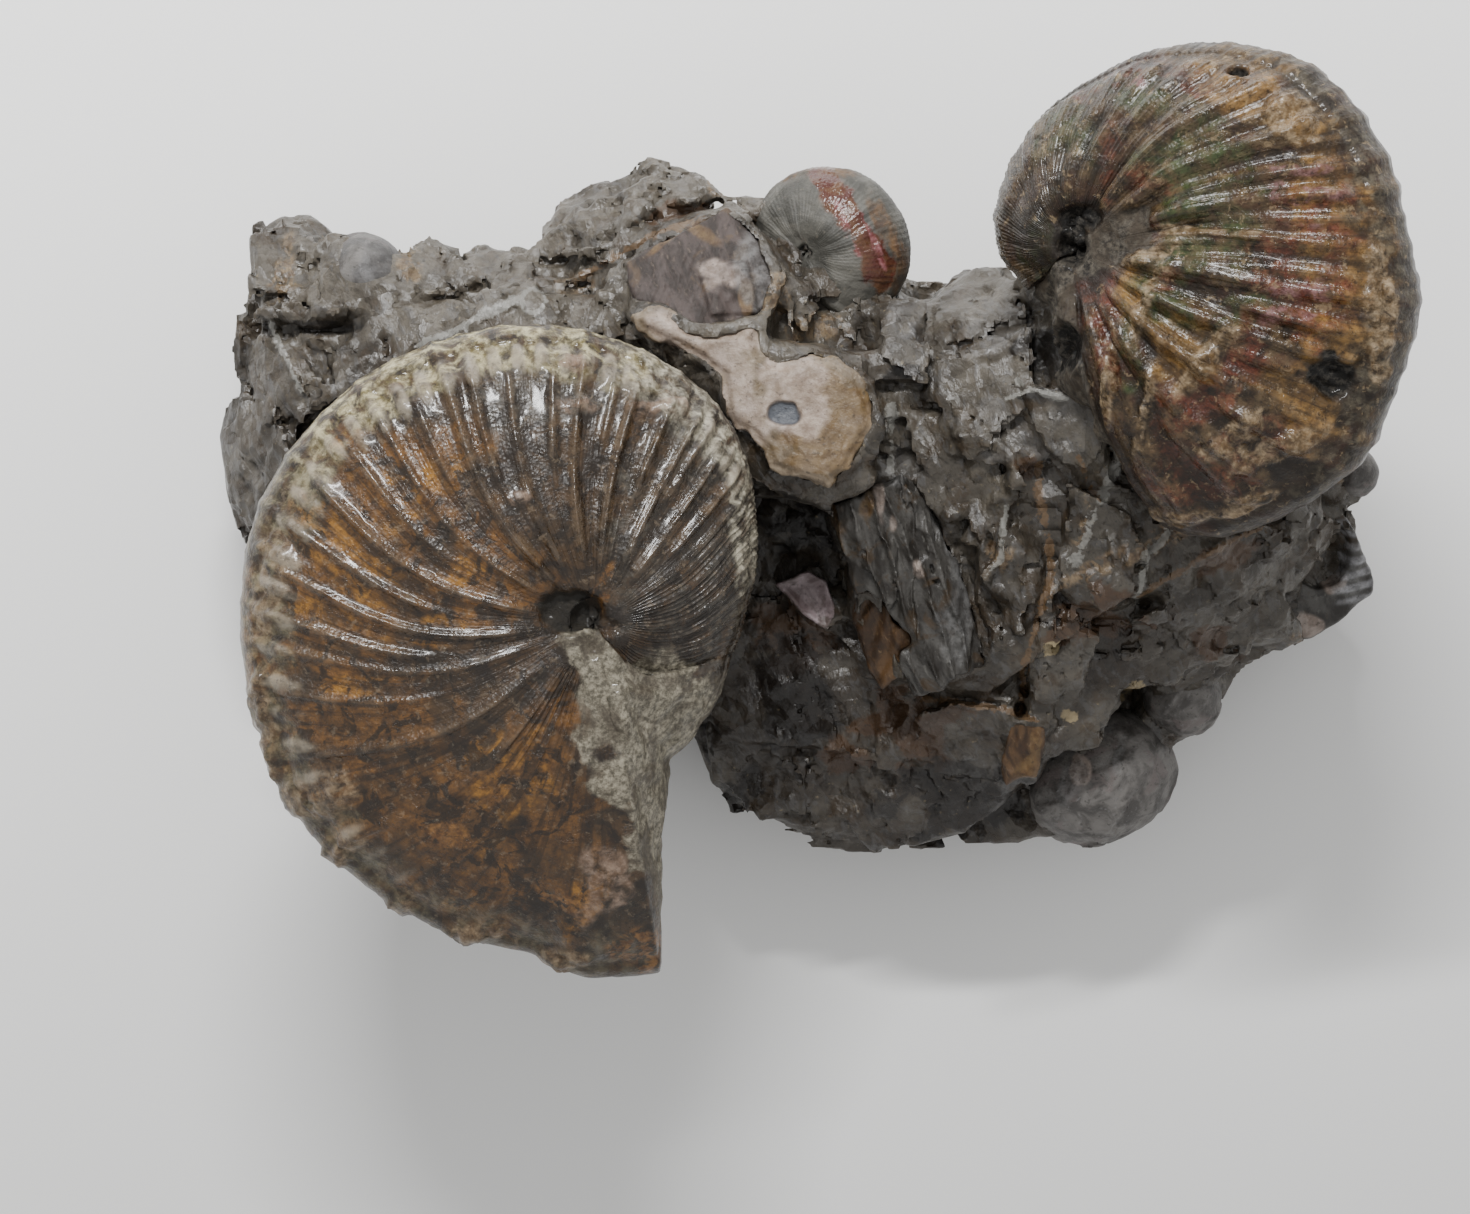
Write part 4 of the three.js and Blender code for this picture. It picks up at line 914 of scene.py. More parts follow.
WHITE_LINES = [
    (0.16, [(-40.3, 14.2), (-39.2, 12.0), (-37.7, 9.1)]),
    (0.22, [(-29.1, 12.2), (-27.9, 12.8), (-26.6, 13.2), (-24.8, 14.2), (-23.0, 15.0), (-21.6, 15.7)]),
    (0.34, [(19.7, 8.8), (20.4, 8.1), (21.1, 6.1), (21.1, 4.0), (20.3, 1.9), (19.6, 0.4), (18.9, -1.8),
        (18.0, -3.4)]),
    (0.22, [(24.9, -1.2), (23.9, -2.4), (23.2, -2.9), (23.0, -4.7), (22.7, -6.0)]),
    (0.26, [(5.1, 7.9), (4.9, 6.5), (5.1, 5.0), (4.9, 3.1)]),
    (0.18, [(13.2, 0.5), (12.9, -1.5), (12.8, -3.2), (11.7, -4.5)]),
    (0.2, [(13.9, 9.4), (15.2, 8.7), (17.3, 8.2)]),
    (0.15, [(-19.8, 15.4), (-20.1, 16.1), (-20.8, 16.4), (-21.4, 16.0), (-21.6, 15.3), (-21.3, 14.6),
        (-20.6, 14.5), (-20.0, 14.9), (-19.8, 15.4)]),
    (0.22, [(13.2, 8.3), (15.0, 8.8), (16.8, 8.1)]),
]
TAN_LINES = [
    (0.26, [(15.5, 3.8), (15.5, 1.8), (15.9, 0.0), (16.3, -1.9), (16.5, -3.9), (16.2, -5.4),
        (15.6, -7.2), (15.2, -9.0), (14.7, -10.6), (14.7, -14.3)]),
    (0.22, [(7.6, -13.3), (9.3, -13.5), (11.5, -13.8), (13.4, -14.0), (15.8, -14.9)]),
    (0.2, [(23.0, -5.8), (24.4, -4.8), (26.2, -3.8), (28.1, -2.5), (30.2, -1.5), (31.8, -0.9)]),
    (0.22, [(-17.8, 17.3), (-16.2, 18.0), (-14.0, 19.2), (-11.5, 20.5), (-8.7, 21.3)]),
    (0.16, [(18.2, 4.0), (19.1, 2.1), (19.9, 0.9)]),
]


def ledges(points, size, steps, salt):
    """Terraces where thin layers have flaked off: smooth noise cut into steps, each with a short riser."""
    level = steps * layered_noise(points, size, 2, salt)
    return (np.floor(level) + eased(np.mod(level, 1), 0.8, 1.0)) / steps


def roughened(nearest, second, steep, owner):
    """The blocks' field with chips, ledges, beds, creases and cracks, near the surface."""
    field = nearest.copy()
    band = np.abs(nearest) < BAND
    at = np.argwhere(band)
    points = (rock_start + at * STEP).astype(np.float32)
    factor = np.array([SMOOTH_BLOCKS.get(name, 1.0) for name in ROCK_BLOCKS], np.float32)[owner[band]]
    factor *= 0.3 + 0.7 * eased(points[:, 2], 0.5, 4.0)
    lift = BASE_DROP + BASE_NOISE * layered_noise(points, 2.6, 2, 71)
    lift += factor * LEDGE_HEIGHT * ledges(points, 7.0, 4, 75)
    splinters = points @ np.array(SPLINTER_AXES, np.float32).T
    lift += SPLINTER_HEIGHT * factor * chips(splinters, SPLINTER_SIZE, 61)
    for size, height, salt in CHIP_LAYERS:
        lift += factor * height * chips(points, size, salt)
    bed = points[:, 2] / BED_THICKNESS + 1.3 * smooth_noise(points, 9.0, 81)
    lift += eased(steep[band], 0.5, 0.9) * BED_DEPTH * (eased(np.mod(bed, 1), 0.0, 0.85) - 0.5)
    apart = (second - nearest)[band]
    lift += CREASE_DEPTH * np.exp(-((apart / CREASE_WIDTH) ** 2))
    for crack in CRACKS:
        away = path_distance(crack, points[:, 0], points[:, 1]) + 0.25 * smooth_noise(points, 1.6, 91)
        lift += factor * CRACK_DEPTH * np.exp(-((away / CRACK_WIDTH) ** 2))
    for width, line in WHITE_LINES + TAN_LINES:
        away = path_distance(line, points[:, 0], points[:, 1])
        lift -= LINE_HEIGHT * np.exp(-((away / (LINE_SPREAD * width)) ** 2))
    field[band] += np.clip(lift, -MOST_RAISED, BAND - 0.15)
    return field


rock_field = roughened(nearest, second, steep, owner)
print("rough band done,", int((rock_field < 0).sum()), "cells inside")

# %% [markdown]
# The fossils are cut out of the rock a little under their own skins, so rock and shell meet without a gap. A
# fillet of mud runs round each shell, and a wider bed lies under each scrap. What would lie over a plate is
# cut away as well.

# %% Rock cut round the fossils
# how far the rock reaches into the fossils, how wide the mud spreads, and how far it keeps under their skins
SHELL_OVERLAP, SHELL_FILLET, SHELL_MUD = 0.2, 1.0, 0.1
SCRAP_OVERLAP, SCRAP_BED, PLATE_MUD, MOULD_MUD = 0.3, 2.0, 0.2, 0.3
SHELL_ROOM, SCRAP_ROOM, ROOM_OVER_PLATES = 2, 2.5, 4  # mm round the solids' boxes in which the rock changes


def grid_box(name, below, above):
    """The part of the rock's grid round a solid, and its points."""
    low, high = (np.array(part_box(name)[k]) / MM for k in (0, 1))
    box = tuple(slice(*np.searchsorted(a, (l - below, h + above))) for a, l, h in zip(axes, low, high))
    return box, np.stack(np.meshgrid(*(a[b] for a, b in zip(axes, box)), indexing="ij"), axis=-1)


for name, shell in {"large_scaphite": LARGE, "upper_scaphite": UPPER, "top_scaphite": TOP}.items():
    box, points = grid_box(name, SHELL_ROOM, SHELL_ROOM)
    skin = shell_field(shell, points).astype(np.float32)
    joined = soft_min(rock_field[box], skin + SHELL_MUD, SHELL_FILLET)
    rock_field[box] = np.maximum(joined, -(skin + SHELL_OVERLAP))
for name in [*PLATES, "ribbed_shell_fragment"]:
    box, points = grid_box(name, SCRAP_ROOM, ROOM_OVER_PLATES)
    scrap = scrap_field(name, points)
    over = np.minimum.accumulate(scrap, axis=2)
    bedded = soft_min(rock_field[box], scrap + PLATE_MUD, SCRAP_BED)
    rock_field[box] = np.maximum(bedded, -(over + SCRAP_OVERLAP))
for name in [*MOULDS, "broken_whorl"]:
    box, points = grid_box(name, SCRAP_ROOM, SCRAP_ROOM)
    scrap = scrap_field(name, points)
    bedded = soft_min(rock_field[box], scrap + MOULD_MUD, SCRAP_BED)
    rock_field[box] = np.maximum(bedded, -(scrap + SCRAP_OVERLAP))
print("cut round 3 shells,", len(PLATES) + 1, "plates and", len(MOULDS) + 1, "lumps")

# %% [markdown]
# The rock is caught in five slices, because one mesh would have too many triangles. Each slice also stores
# how far each point stands out on an edge, and how far it lies in the spots and lines of other colours.

# %% Net of the rock
FLOOR_CUT = 0.05
ROCK_SLICES = [(-99, -25), (-25, -8), (-8, 8), (8, 23), (23, 99)]
SLICE_LAP, SLICE_TAPER = 1.0, 0.3
SHARP_DEGREES = 32
EDGE_SMOOTHINGS = 2
# spots of a tone: x, y, half axes and turn, in mm and degrees
ROCK_SPOTS = {
    "tan": [
        (-39.2, 18.8, 0.9, 1.9, -10), (-30.0, 18.3, 0.6, 1.2, 0), (-17.2, 16.8, 1.3, 1.0, 0),
        (12.9, -3.2, 0.6, 0.9, 0), (-3.7, 15.5, 1.6, 1.2, 0), (-0.1, 13.4, 1.9, 1.0, 0),
        (19.0, -0.3, 0.6, 2.2, -20), (36.7, -9.0, 1.9, 0.7, 0), (5.7, -3.2, 0.7, 0.9, 0),
        (37.8, 3.3, 0.9, 0.7, 0), (10.0, -10.1, 0.6, 0.9, 0), (-7.3, 24.2, 0.9, 0.7, 0),
        (20.1, -3.6, 4.3, 0.6, 25), (27.3, -0.3, 4.3, 0.6, 25),
    ],
    "brown": [
        (6.8, -15.5, 3.6, 2.5, 0), (-1.9, -8.3, 2.5, 2.5, 0), (2.1, -17.6, 2.2, 1.3, 0),
        (28.1, -9.0, 2.2, 1.0, -10), (20.1, -7.5, 2.9, 2.2, 0), (29.1, -3.2, 2.9, 1.0, 20),
        (-25.3, -33.5, 2.2, 1.0, 0), (14.4, 3.3, 0.9, 0.7, 0), (-11.6, 21.7, 2.5, 0.9, 15),
        (-8.7, 20.9, 1.6, 0.7, 0), (31.7, 3.3, 2.2, 1.2, 20),
    ],
    "pale": [
        (16.2, 8.3, 1.4, 0.8, -10), (11.7, 13.4, 3.2, 1.4, 0), (6.1, 14.1, 1.0, 1.9, 0),
        (17.2, 5.4, 1.6, 2.9, -10), (6.1, 3.3, 1.2, 2.6, 0), (12.9, 6.2, 1.7, 2.2, 0),
    ],
    # painted shade: near-black spots in recesses, along a crack and under the cream block's edge
    "dark": [
        (-0.1, -1.0, 3.3, 1.9, 0), (-2.2, -13.3, 2.9, 4.3, 0), (15.8, 11.1, 1.6, 2.0, 0),
        (6.1, 10.1, 1.4, 0.9, 0), (-7.3, -22.7, 2.9, 4.3, 0), (-36.8, 13.7, 2.9, 0.6, 0),
        (10.0, -20.5, 4.3, 2.2, 0),
    ],
    # paler rock towards the top: partly its own paler grey and partly painted light on the upper side
    "light": [
        (-28.2, 17.7, 13.7, 5.8, 0), (-9.4, 23.5, 6.5, 2.9, 15), (11.5, 11.9, 5.0, 4.3, 0),
        (-37.6, 9.8, 4.3, 6.5, 0), (18.7, 6.2, 3.6, 4.3, 0), (12.9, 5.4, 4.3, 3.6, 0),
        (-4.4, 13.4, 4.3, 3.6, 0),
    ],
    # darker brown low down and on the left: partly the rock's own colour and partly painted shade
    "deep": [
        (2.1, -16.2, 10.1, 7.9, 0), (12.9, -19.8, 8.7, 5.0, 0), (-4.4, -9.0, 4.3, 7.9, 0),
        (23.7, -9.7, 5.0, 2.9, 0), (-15.9, -34.9, 14.4, 4.3, 0), (-35.4, -3.2, 8.7, 10.1, 0),
    ],
    "grain": [
        (16.5, -9.6, 0.4, 0.4, 0), (23.0, -12.6, 0.6, 0.4, 0), (18.0, -14.5, 0.6, 0.3, -30),
        (22.6, -13.3, 0.4, 0.6, -20),
    ],
}


def biggest_body(points, faces):
    """Only the largest connected body: points take the lowest number among their faces, again and again."""
    label = np.arange(len(points))
    while True:
        low = label[faces].min(axis=1)
        after = label.copy()
        np.minimum.at(after, faces.ravel(), np.repeat(low, faces.shape[1]))
        after = after[after]
        if np.array_equal(after, label):
            break
        label = after
    kept = label[faces[:, 0]] == np.bincount(label[faces[:, 0]]).argmax()
    used = np.unique(faces[kept])
    number = np.full(len(points), -1)
    number[used] = np.arange(len(used))
    return points[used], number[faces[kept]]


def line_share(points, lines):
    """1 on any of the lines and 0.5 at its side, falling off slowly, with the line's width made uneven."""
    uneven = 1 + 0.5 * layered_noise(points, 1.4, 2, 95)
    best = np.zeros(len(points), np.float32)
    for width, line in lines:
        away = path_distance(line, points[:, 0], points[:, 1])
        best = np.maximum(best, 1 - 0.5 * away / (1.3 * width * np.maximum(uneven, 0.2)))
    return best


def edge_share(points, faces):
    """How far each point stands out from its neighbours: above 0 on edges, below 0 in creases."""
    corner = [points[faces[:, k]] for k in range(4)]
    across = np.cross(corner[2] - corner[0], corner[3] - corner[1])
    pairs = np.concatenate([np.stack([faces[:, k], faces[:, (k + 1) % 4]], axis=1) for k in range(4)])
    ends, others = np.concatenate([pairs, pairs[:, ::-1]]).T
    total = len(points)

    def gathered(index, values):
        return np.stack([np.bincount(index, values[:, a], total) for a in range(3)], axis=1)

    normal = sum(gathered(faces[:, k], across) for k in range(4))
    normal /= np.maximum(np.linalg.norm(normal, axis=1, keepdims=True), 1e-9)
    count = np.bincount(ends, minlength=total)
    middle = gathered(ends, points[others]) / count[:, None]
    share = np.einsum("ij,ij->i", normal, points - middle) / STEP
    for _ in range(EDGE_SMOOTHINGS):
        share = 0.5 * share + 0.5 * np.bincount(ends, share[others], total) / count
    return share


def rock_slice(name, left, right):
    """One slice of the rock: past each border it sinks slowly under its neighbour and then ends."""
    box = slice(*np.searchsorted(axes[0], (left - SLICE_LAP - 2 * STEP, right + SLICE_LAP + 2 * STEP)))
    x = axes[0][box, None, None]
    level = np.maximum(rock_field[box], FLOOR_CUT - axes[2][None, None, :])
    past = np.maximum(left - x, 0) + np.maximum(x - right, 0)
    level = np.maximum(level + SLICE_TAPER * past, past - SLICE_LAP)
    start = rock_start + np.array([axes[0][box][0] - axes[0][0], 0, 0])
    points, faces = biggest_body(*surface_net(level.astype(np.float32), start, STEP))
    shares = {kind: spots_share(points, spots) for kind, spots in ROCK_SPOTS.items()}
    for kind, lines in {"white_line": WHITE_LINES, "tan_line": TAN_LINES}.items():
        shares[kind] = line_share(points, lines)
    piece = make_object(name, points, faces, {**shares, "edge": edge_share(points, faces)})
    piece.data.set_sharp_from_angle(angle=math.radians(SHARP_DEGREES))
    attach(piece, "root")
    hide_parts("matrix_rock")
    return piece


rocks = [rock_slice(f"rock_{k}", *bounds) for k, bounds in enumerate(ROCK_SLICES, 1)]

# %% [markdown]
# ## Shells in fine relief
# Growth angle and way across the flank place every point of a shell, so ribs, knobs at the outer edge and the
# spots where shell has flaked off or mud still sticks are all simple terms of those two and of the place.

# %% Coiled shell surface
# x, y, half axes and turn of each spot, as above
LARGE_SPOTS = {
    "amber": [
        (-30.7, 0.9, 6.3, 4.3, 30), (-33.5, -7.5, 5.6, 5.2, 0), (-32.1, -15.2, 5.9, 4.2, 0),
        (-27.6, -20.8, 5.9, 4.5, 0), (-23.4, -25.7, 4.5, 3.1, 0), (-25.1, -5.4, 4.6, 2.8, 0),
        (-18.5, -20.8, 3.2, 5.6, 0),
    ],
    "orange": [
        (-30.0, 2.6, 2.8, 2.0, -45), (-33.9, -1.2, 3.9, 2.1, -25), (-26.5, 3.1, 1.8, 2.4, 0),
        (-25.3, -4.3, 1.8, 1.1, 0), (-34.6, -7.0, 3.5, 1.3, 0), (-29.0, -8.4, 3.1, 1.0, 0),
        (-22.9, -18.7, 1.8, 2.5, 0), (-24.8, -23.8, 2.0, 1.4, 0), (-33.2, -12.4, 3.5, 0.8, 0),
        (-16.7, -27.5, 1.0, 2.8, -20), (-19.9, -18.0, 0.8, 2.8, 0),
    ],
    "matrix": [
        (-15.2, -12.6, 1.7, 2.8, 0), (-14.0, -16.3, 2.1, 3.5, 0), (-12.7, -20.1, 1.5, 3.9, 0),
        (-13.1, -11.2, 3.1, 1.5, 0), (-16.2, -9.5, 1.5, 1.3, 0), (-11.9, -23.6, 0.7, 2.8, 0),
        (-12.2, -17.0, 1.8, 4.2, 0),
    ],
    "grey": [
        (-9.4, -10.0, 4.9, 2.5, 20), (-6.9, -3.3, 2.1, 4.9, 0), (-11.1, -6.1, 3.5, 3.2, 0),
        (-12.9, -1.2, 2.1, 2.8, 0), (-8.7, 4.4, 2.8, 2.8, 0), (-19.9, 7.9, 4.2, 2.1, 0),
    ],
    "rust": [
        (-15.4, -5.4, 0.4, 1.4, -20), (-12.9, -30.6, 2.4, 1.5, 0), (-26.0, -23.1, 1.4, 1.0, 0),
        (-18.5, -27.1, 1.7, 0.8, -30),
    ],
    "hollow": [
        (-17.8, -7.0, 1.5, 1.3, 0),
    ],
    "flake": [
        (-15.7, -26.1, 1.8, 1.8, 0), (-17.8, 10.2, 0.9, 0.6, 0), (-17.1, 7.4, 1.1, 0.7, 0),
        (-11.7, 7.4, 1.3, 0.7, 0), (-9.4, 14.9, 0.8, 0.6, 0), (-21.3, 0.9, 0.8, 0.6, 0),
    ],
    "crust": [
        (-36.7, -20.1, 1.8, 1.0, 40), (-33.5, -23.6, 1.8, 0.8, 40), (-29.7, -27.5, 2.0, 0.8, 35),
        (-24.8, -29.9, 2.4, 0.8, 20), (-38.2, -3.3, 0.8, 1.8, 0), (-39.6, -7.5, 0.8, 1.8, 0),
        (-39.9, -12.4, 0.7, 2.0, 0), (-38.9, -16.8, 0.7, 1.7, 0), (-18.5, -31.7, 2.8, 0.7, 10),
        (-34.6, -19.4, 1.4, 2.1, -30),
    ],
}
UPPER_SPOTS = {
    "gold": [
        (34.0, 25.3, 3.1, 2.1, -35), (34.8, 19.4, 3.5, 4.3, 0), (35.7, 12.8, 3.2, 4.2, 0),
        (33.6, 7.2, 3.9, 2.4, -30), (29.8, 28.5, 4.2, 1.5, -30), (27.7, 31.5, 4.2, 1.0, -10),
        (24.9, 10.7, 1.4, 2.8, 30), (21.4, 14.9, 0.8, 2.1, 0),
    ],
    "green": [
        (17.9, 26.0, 2.0, 2.9, -20), (22.8, 28.1, 2.8, 1.8, -30), (26.3, 24.3, 4.2, 2.4, -20),
        (26.2, 20.8, 2.8, 1.5, 0), (25.7, 17.5, 2.8, 1.5, 0), (23.9, 14.5, 1.5, 2.8, 20),
        (21.4, 11.7, 0.7, 3.1, 0), (28.4, 13.5, 2.1, 1.0, 0), (15.1, 18.4, 0.8, 1.7, 0),
    ],
    "red": [
        (20.7, 30.6, 2.4, 1.0, -20), (18.6, 29.1, 1.0, 0.8, 0), (24.6, 30.0, 2.4, 1.0, -30),
        (19.6, 24.3, 0.7, 2.4, 0), (22.8, 22.8, 1.3, 0.6, -20), (18.8, 14.9, 1.4, 1.7, 0),
        (19.9, 12.8, 1.0, 3.1, 10), (23.9, 15.7, 1.0, 0.7, 0), (27.4, 8.7, 3.2, 1.4, 45),
        (25.7, 2.1, 3.2, 2.0, -15), (29.5, 5.1, 2.2, 1.5, 0), (24.1, 5.1, 1.3, 2.8, 0),
        (33.3, 17.0, 3.5, 4.2, 0), (17.6, 13.5, 0.8, 1.4, 0),
    ],
    # painted highlights: thin pink glints on the rib crests
    "pink": [
        (33.6, 21.5, 3.2, 0.6, -5), (33.6, 19.1, 2.5, 0.6, -5), (32.6, 15.3, 2.8, 0.6, 10),
        (31.6, 13.6, 2.8, 0.6, 15), (22.1, 29.5, 1.1, 0.4, -40), (33.3, 23.2, 2.1, 0.4, -5),
    ],
    "matrix": [
        (20.2, 18.5, 2.4, 1.7, 20), (21.4, 20.3, 1.3, 1.0, 0), (18.6, 17.5, 1.0, 1.0, 0),
    ],
    "crust": [
        (24.9, -0.2, 2.8, 0.6, 0), (29.8, 0.9, 2.8, 0.7, 20), (22.8, 14.9, 0.6, 3.1, -24),
        (26.0, 10.0, 0.6, 2.8, -40), (29.1, 6.1, 0.7, 2.5, -50), (37.9, 14.9, 0.8, 4.9, 0),
        (31.9, 4.7, 3.5, 0.7, 25), (22.5, 7.9, 0.4, 3.5, -12), (22.1, 17.5, 1.7, 0.6, 20),
        (27.0, 19.1, 4.2, 0.3, -5), (32.6, 26.7, 1.4, 1.4, 0), (20.0, 9.3, 0.4, 3.5, -5),
    ],
    "hollow": [
        (28.7, 30.0, 0.5, 0.3, 0), (35.0, 9.1, 2.4, 1.5, 20), (17.5, 20.0, 1.1, 1.1, 0),
        (16.5, 11.4, 1.0, 2.1, 0),
    ],
}
TOP_SPOTS = {
    "nacre": [
        (0.4, 24.3, 0.8, 1.4, 40), (1.5, 22.7, 0.9, 1.9, 32), (2.5, 20.9, 1.0, 2.0, 26),
        (3.5, 18.9, 0.9, 1.9, 20),
    ],
    # painted highlights: thin pink streaks on the nacre band
    "pink": [
        (1.9, 20.4, 0.3, 2.2, 22), (3.7, 19.9, 0.2, 2.5, 22),
    ],
    "brown": [
        (5.4, 17.1, 1.6, 1.6, 0), (-0.4, 24.9, 2.5, 0.7, 0), (4.4, 20.9, 0.6, 2.9, 30),
        (0.8, 23.0, 0.9, 2.2, 35),
    ],
}

# mm: fine grain everywhere, mud, crusts, holes and spots of thick shell
GRAIN_HEIGHT, MUD_HEIGHT, CRUST_HEIGHT, HOLLOW_DEPTH, CHIP_HEIGHT = 0.04, 0.15, 0.2, 1.0, 0.22
RIB_DRIFT = 0.3  # of the way to the next rib
SMALLEST_RIB, RIB_RANGE = 0.6, 0.7
MOUTH_END = (354, 359)  # degrees of growth
PIT_ROWS = 8
RIBS_UNDER_MUD = 0.92  # how much of them the mud hides
KNOB_LENGTH = 0.6  # mm
KNOB_WAY, KNOB_SPREAD = 0.88, 0.07  # where across the flank the knobs stand


def ridge(distance, width, sharp):
    """A ridge seen across: partly a round bell, partly a sharp crest with a wide hollow foot."""
    bell = np.exp(-((distance / width) ** 2))
    crest = np.exp(-np.abs(distance) / (1.9 * width))
    return (1 - sharp) * bell + sharp * crest


def rib_height(growth, way, radius, look):
    """Ribs from the umbilicus to the outer edge, one more between each two further out, and the knobs."""
    spacing = look["spacing"]
    rng = np.random.default_rng(look["seed"])
    count = int(360 / spacing) + 3
    total = 0
    for half in (0, 0.5):
        turn = growth / spacing - half
        number = np.round(turn).astype(int)
        drift = RIB_DRIFT * (rng.random(count) - 0.5)
        size = (SMALLEST_RIB + RIB_RANGE * rng.random(count)) * (1 if half == 0 else look["between"])
        begin = np.full(count, 0.04) if half == 0 else 0.25 + 0.3 * rng.random(count)
        index = np.clip(number, 0, count - 1)
        across = (turn - number - drift[index]) * spacing * np.radians(radius)
        fade = eased(way, begin[index], begin[index] + 0.16) * (1 - 0.75 * eased(way, 0.84, 0.93))
        total = total + size[index] * fade * ridge(across, *look["rib"])
    strength = smooth_through(look["strength"], growth)
    turn = np.mod(growth / look["knob_spacing"], 1) - 0.5
    along = turn * look["knob_spacing"] * np.radians(radius)
    knobs = np.exp(-((along / KNOB_LENGTH) ** 2)) * np.exp(-(((way - KNOB_WAY) / KNOB_SPREAD) ** 2))
    return look["height"] * strength * total, look["knobs"] * np.maximum(strength, 0.4) * knobs


def striae_height(placed, growth, way, look):
    """Fine growth ribs, strong only where the table by growth says so and towards the umbilicus."""
    turn = growth / look["striae"] + 0.35 * smooth_noise(placed, 3.0, look["seed"] + 50)
    fine = np.exp(-np.abs(np.mod(turn, 1) - 0.5) / 0.15)
    inner = 1 - eased(way, 0.35, 0.65) * eased(growth, 270, 285)
    strength = smooth_through(look["fine_strength"], growth)
    return look["fine"] * fine * inner * eased(way, 0.01, 0.08) * strength


def eased_to_edge(rows):
    """Shares from 0 to 1 that lie closer and closer together, so that the rounded edge gets its points."""
    even = np.linspace(0, 1, rows)
    return 0.45 * even + 0.55 * np.sin(even * np.pi / 2)


def coil_grid(look):
    """Growth, way, inward share and side of each point of a coiled shell's grid."""
    rings, front_rows, back_rows = look["grid"]
    growth = np.linspace(0, 360, rings, endpoint=False)[:, None]
    pit = np.linspace(0, 1, PIT_ROWS, endpoint=False)
    front, back = (eased_to_edge(rows) for rows in (front_rows, back_rows))
    back = back[::-1]
    way = np.concatenate([0 * pit, front, back[1:], 0 * pit])[None, :]
    inward = np.concatenate([1 - pit, 0 * front, 0 * back[1:], (1 - pit)[::-1]])[None, :]
    side = np.concatenate([pit * 0 + 1, front * 0 + 1, back[1:] * 0 - 1, pit * 0 - 1])[None, :]
    return tuple(np.broadcast_arrays(growth, way, inward, side))


def grid_normals(points, turn):
    """Unit normals of a grid of points, outwards on a shell that coils this way round."""
    along = np.roll(points, -1, axis=0) - np.roll(points, 1, axis=0)
    across = np.gradient(points, axis=1)
    normal = np.cross(across, along) * turn
    length = np.linalg.norm(normal, axis=-1, keepdims=True)
    return np.where(length > 1e-9, normal / np.maximum(length, 1e-9), 0)


def smooth_coil(shell, look, growth, way, inward, side):
    """Points of the shell before any relief, untilted and round its own centre, and their radius.

    The radius runs from the umbilicus' rim out to the whorl's own at that growth. The height is half the
    thickness there, and less in the umbilicus.
    """
    edge = smooth_through(shell["radii"], growth)
    rim = shell["umbilicus_radius"]
    radius = (rim + way * (edge - rim)) * (1 - inward)
    reach = radius / edge
    bend = smooth_through(shell["flex"], growth) * eased(reach, *FLEX_REACH)
    angle = np.radians(shell["start"] + shell["coil"] * (growth + bend))
    ragged = 0.3 * smooth_noise(np.stack([growth / 40, 3 * inward, side], axis=-1), 1.0, look["seed"] + 60)
    depth = 1 - look["pit"] * eased(inward + ragged, 0.1, 1)
    height = side * whorl_half_width(shell, growth, reach) * flank_share(way) * depth
    return np.stack([radius * np.cos(angle), radius * np.sin(angle), height], axis=-1), radius


def coil_surface(shell, look):
    """A coiled shell as a closed grid of points, and the values that its finish needs.

    Round the grid runs the growth angle. Across it the way runs from the front pole over the umbilicus' rim,
    flank and outer edge to the back pole. Ribs and other relief are added along the surface's own normal.
    """
    growth, way, inward, side = coil_grid(look)
    points, radius = smooth_coil(shell, look, growth, way, inward, side)
    normal = grid_normals(points, shell["coil"])
    placed = points @ shell_turn(shell).T + np.array(shell["centre"])
    front = (side > 0).astype(np.float32)
    mouth = eased(growth, *look["mouth"]) * (1 - eased(growth, *MOUTH_END))
    shares = {}
    for salt, (kind, spots) in enumerate(look["spots"].items()):
        shares[kind] = spots_share(placed, spots, salt) * front
    ribs, knobs = rib_height(growth, way, radius, look)
    shares["matrix"] = mud = np.maximum(shares.get("matrix", 0), mouth)
    ribs = ribs * (1 - RIBS_UNDER_MUD * mud) * (0.85 + 0.3 * smooth_noise(placed, 4.0, look["seed"]))
    flake = eased(layered_noise(placed, 3.0, 3, look["seed"] + 9), 0.16, 0.24)
    grain = layered_noise(placed, 1.1, 2, look["seed"] + 20)
    ribs = ribs + striae_height(placed, growth, way, look) * (1 - 0.9 * mud)
    relief = ribs + knobs + look["flake"] * flake * (1 - mud) + GRAIN_HEIGHT * grain
    relief = relief + mud * (MUD_HEIGHT + 0.3 * layered_noise(placed, 1.6, 2, 33))
    relief = relief + shares.get("crust", 0) * (CRUST_HEIGHT + 0.45 * np.abs(grain))
    relief = relief - shares.get("hollow", 0) * (HOLLOW_DEPTH + 0.4 * grain)
    relief = relief + CHIP_HEIGHT * shares.get("flake", 0)
    relief = relief + look["wave"] * smooth_noise(placed, 7.0, look["seed"] + 40)
    placed = placed + (relief[..., None] * normal) @ shell_turn(shell).T
    edge_near = way + 0.06 * layered_noise(placed, 2.5, 2, 77)
    values = {"rib": ribs, "knob": knobs, "pit": inward * front, "growth": growth, "way": way}
    for kind, (begin, table) in look["coats"].items():
        values[kind] = eased(edge_near, begin, begin + 0.1) * front * smooth_through(table, growth)
    return placed, {**values, **shares}


def coil_piece(name, node, shell, look):
    """A coiled shell as a piece in place of its solid."""
    grid, values = coil_surface(shell, look)
    points, faces = closed_grid(grid)
    piece = make_object(name, points, faces, {key: grid_values(value) for key, value in values.items()})
    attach(piece, "root")
    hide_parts(node)
    return piece


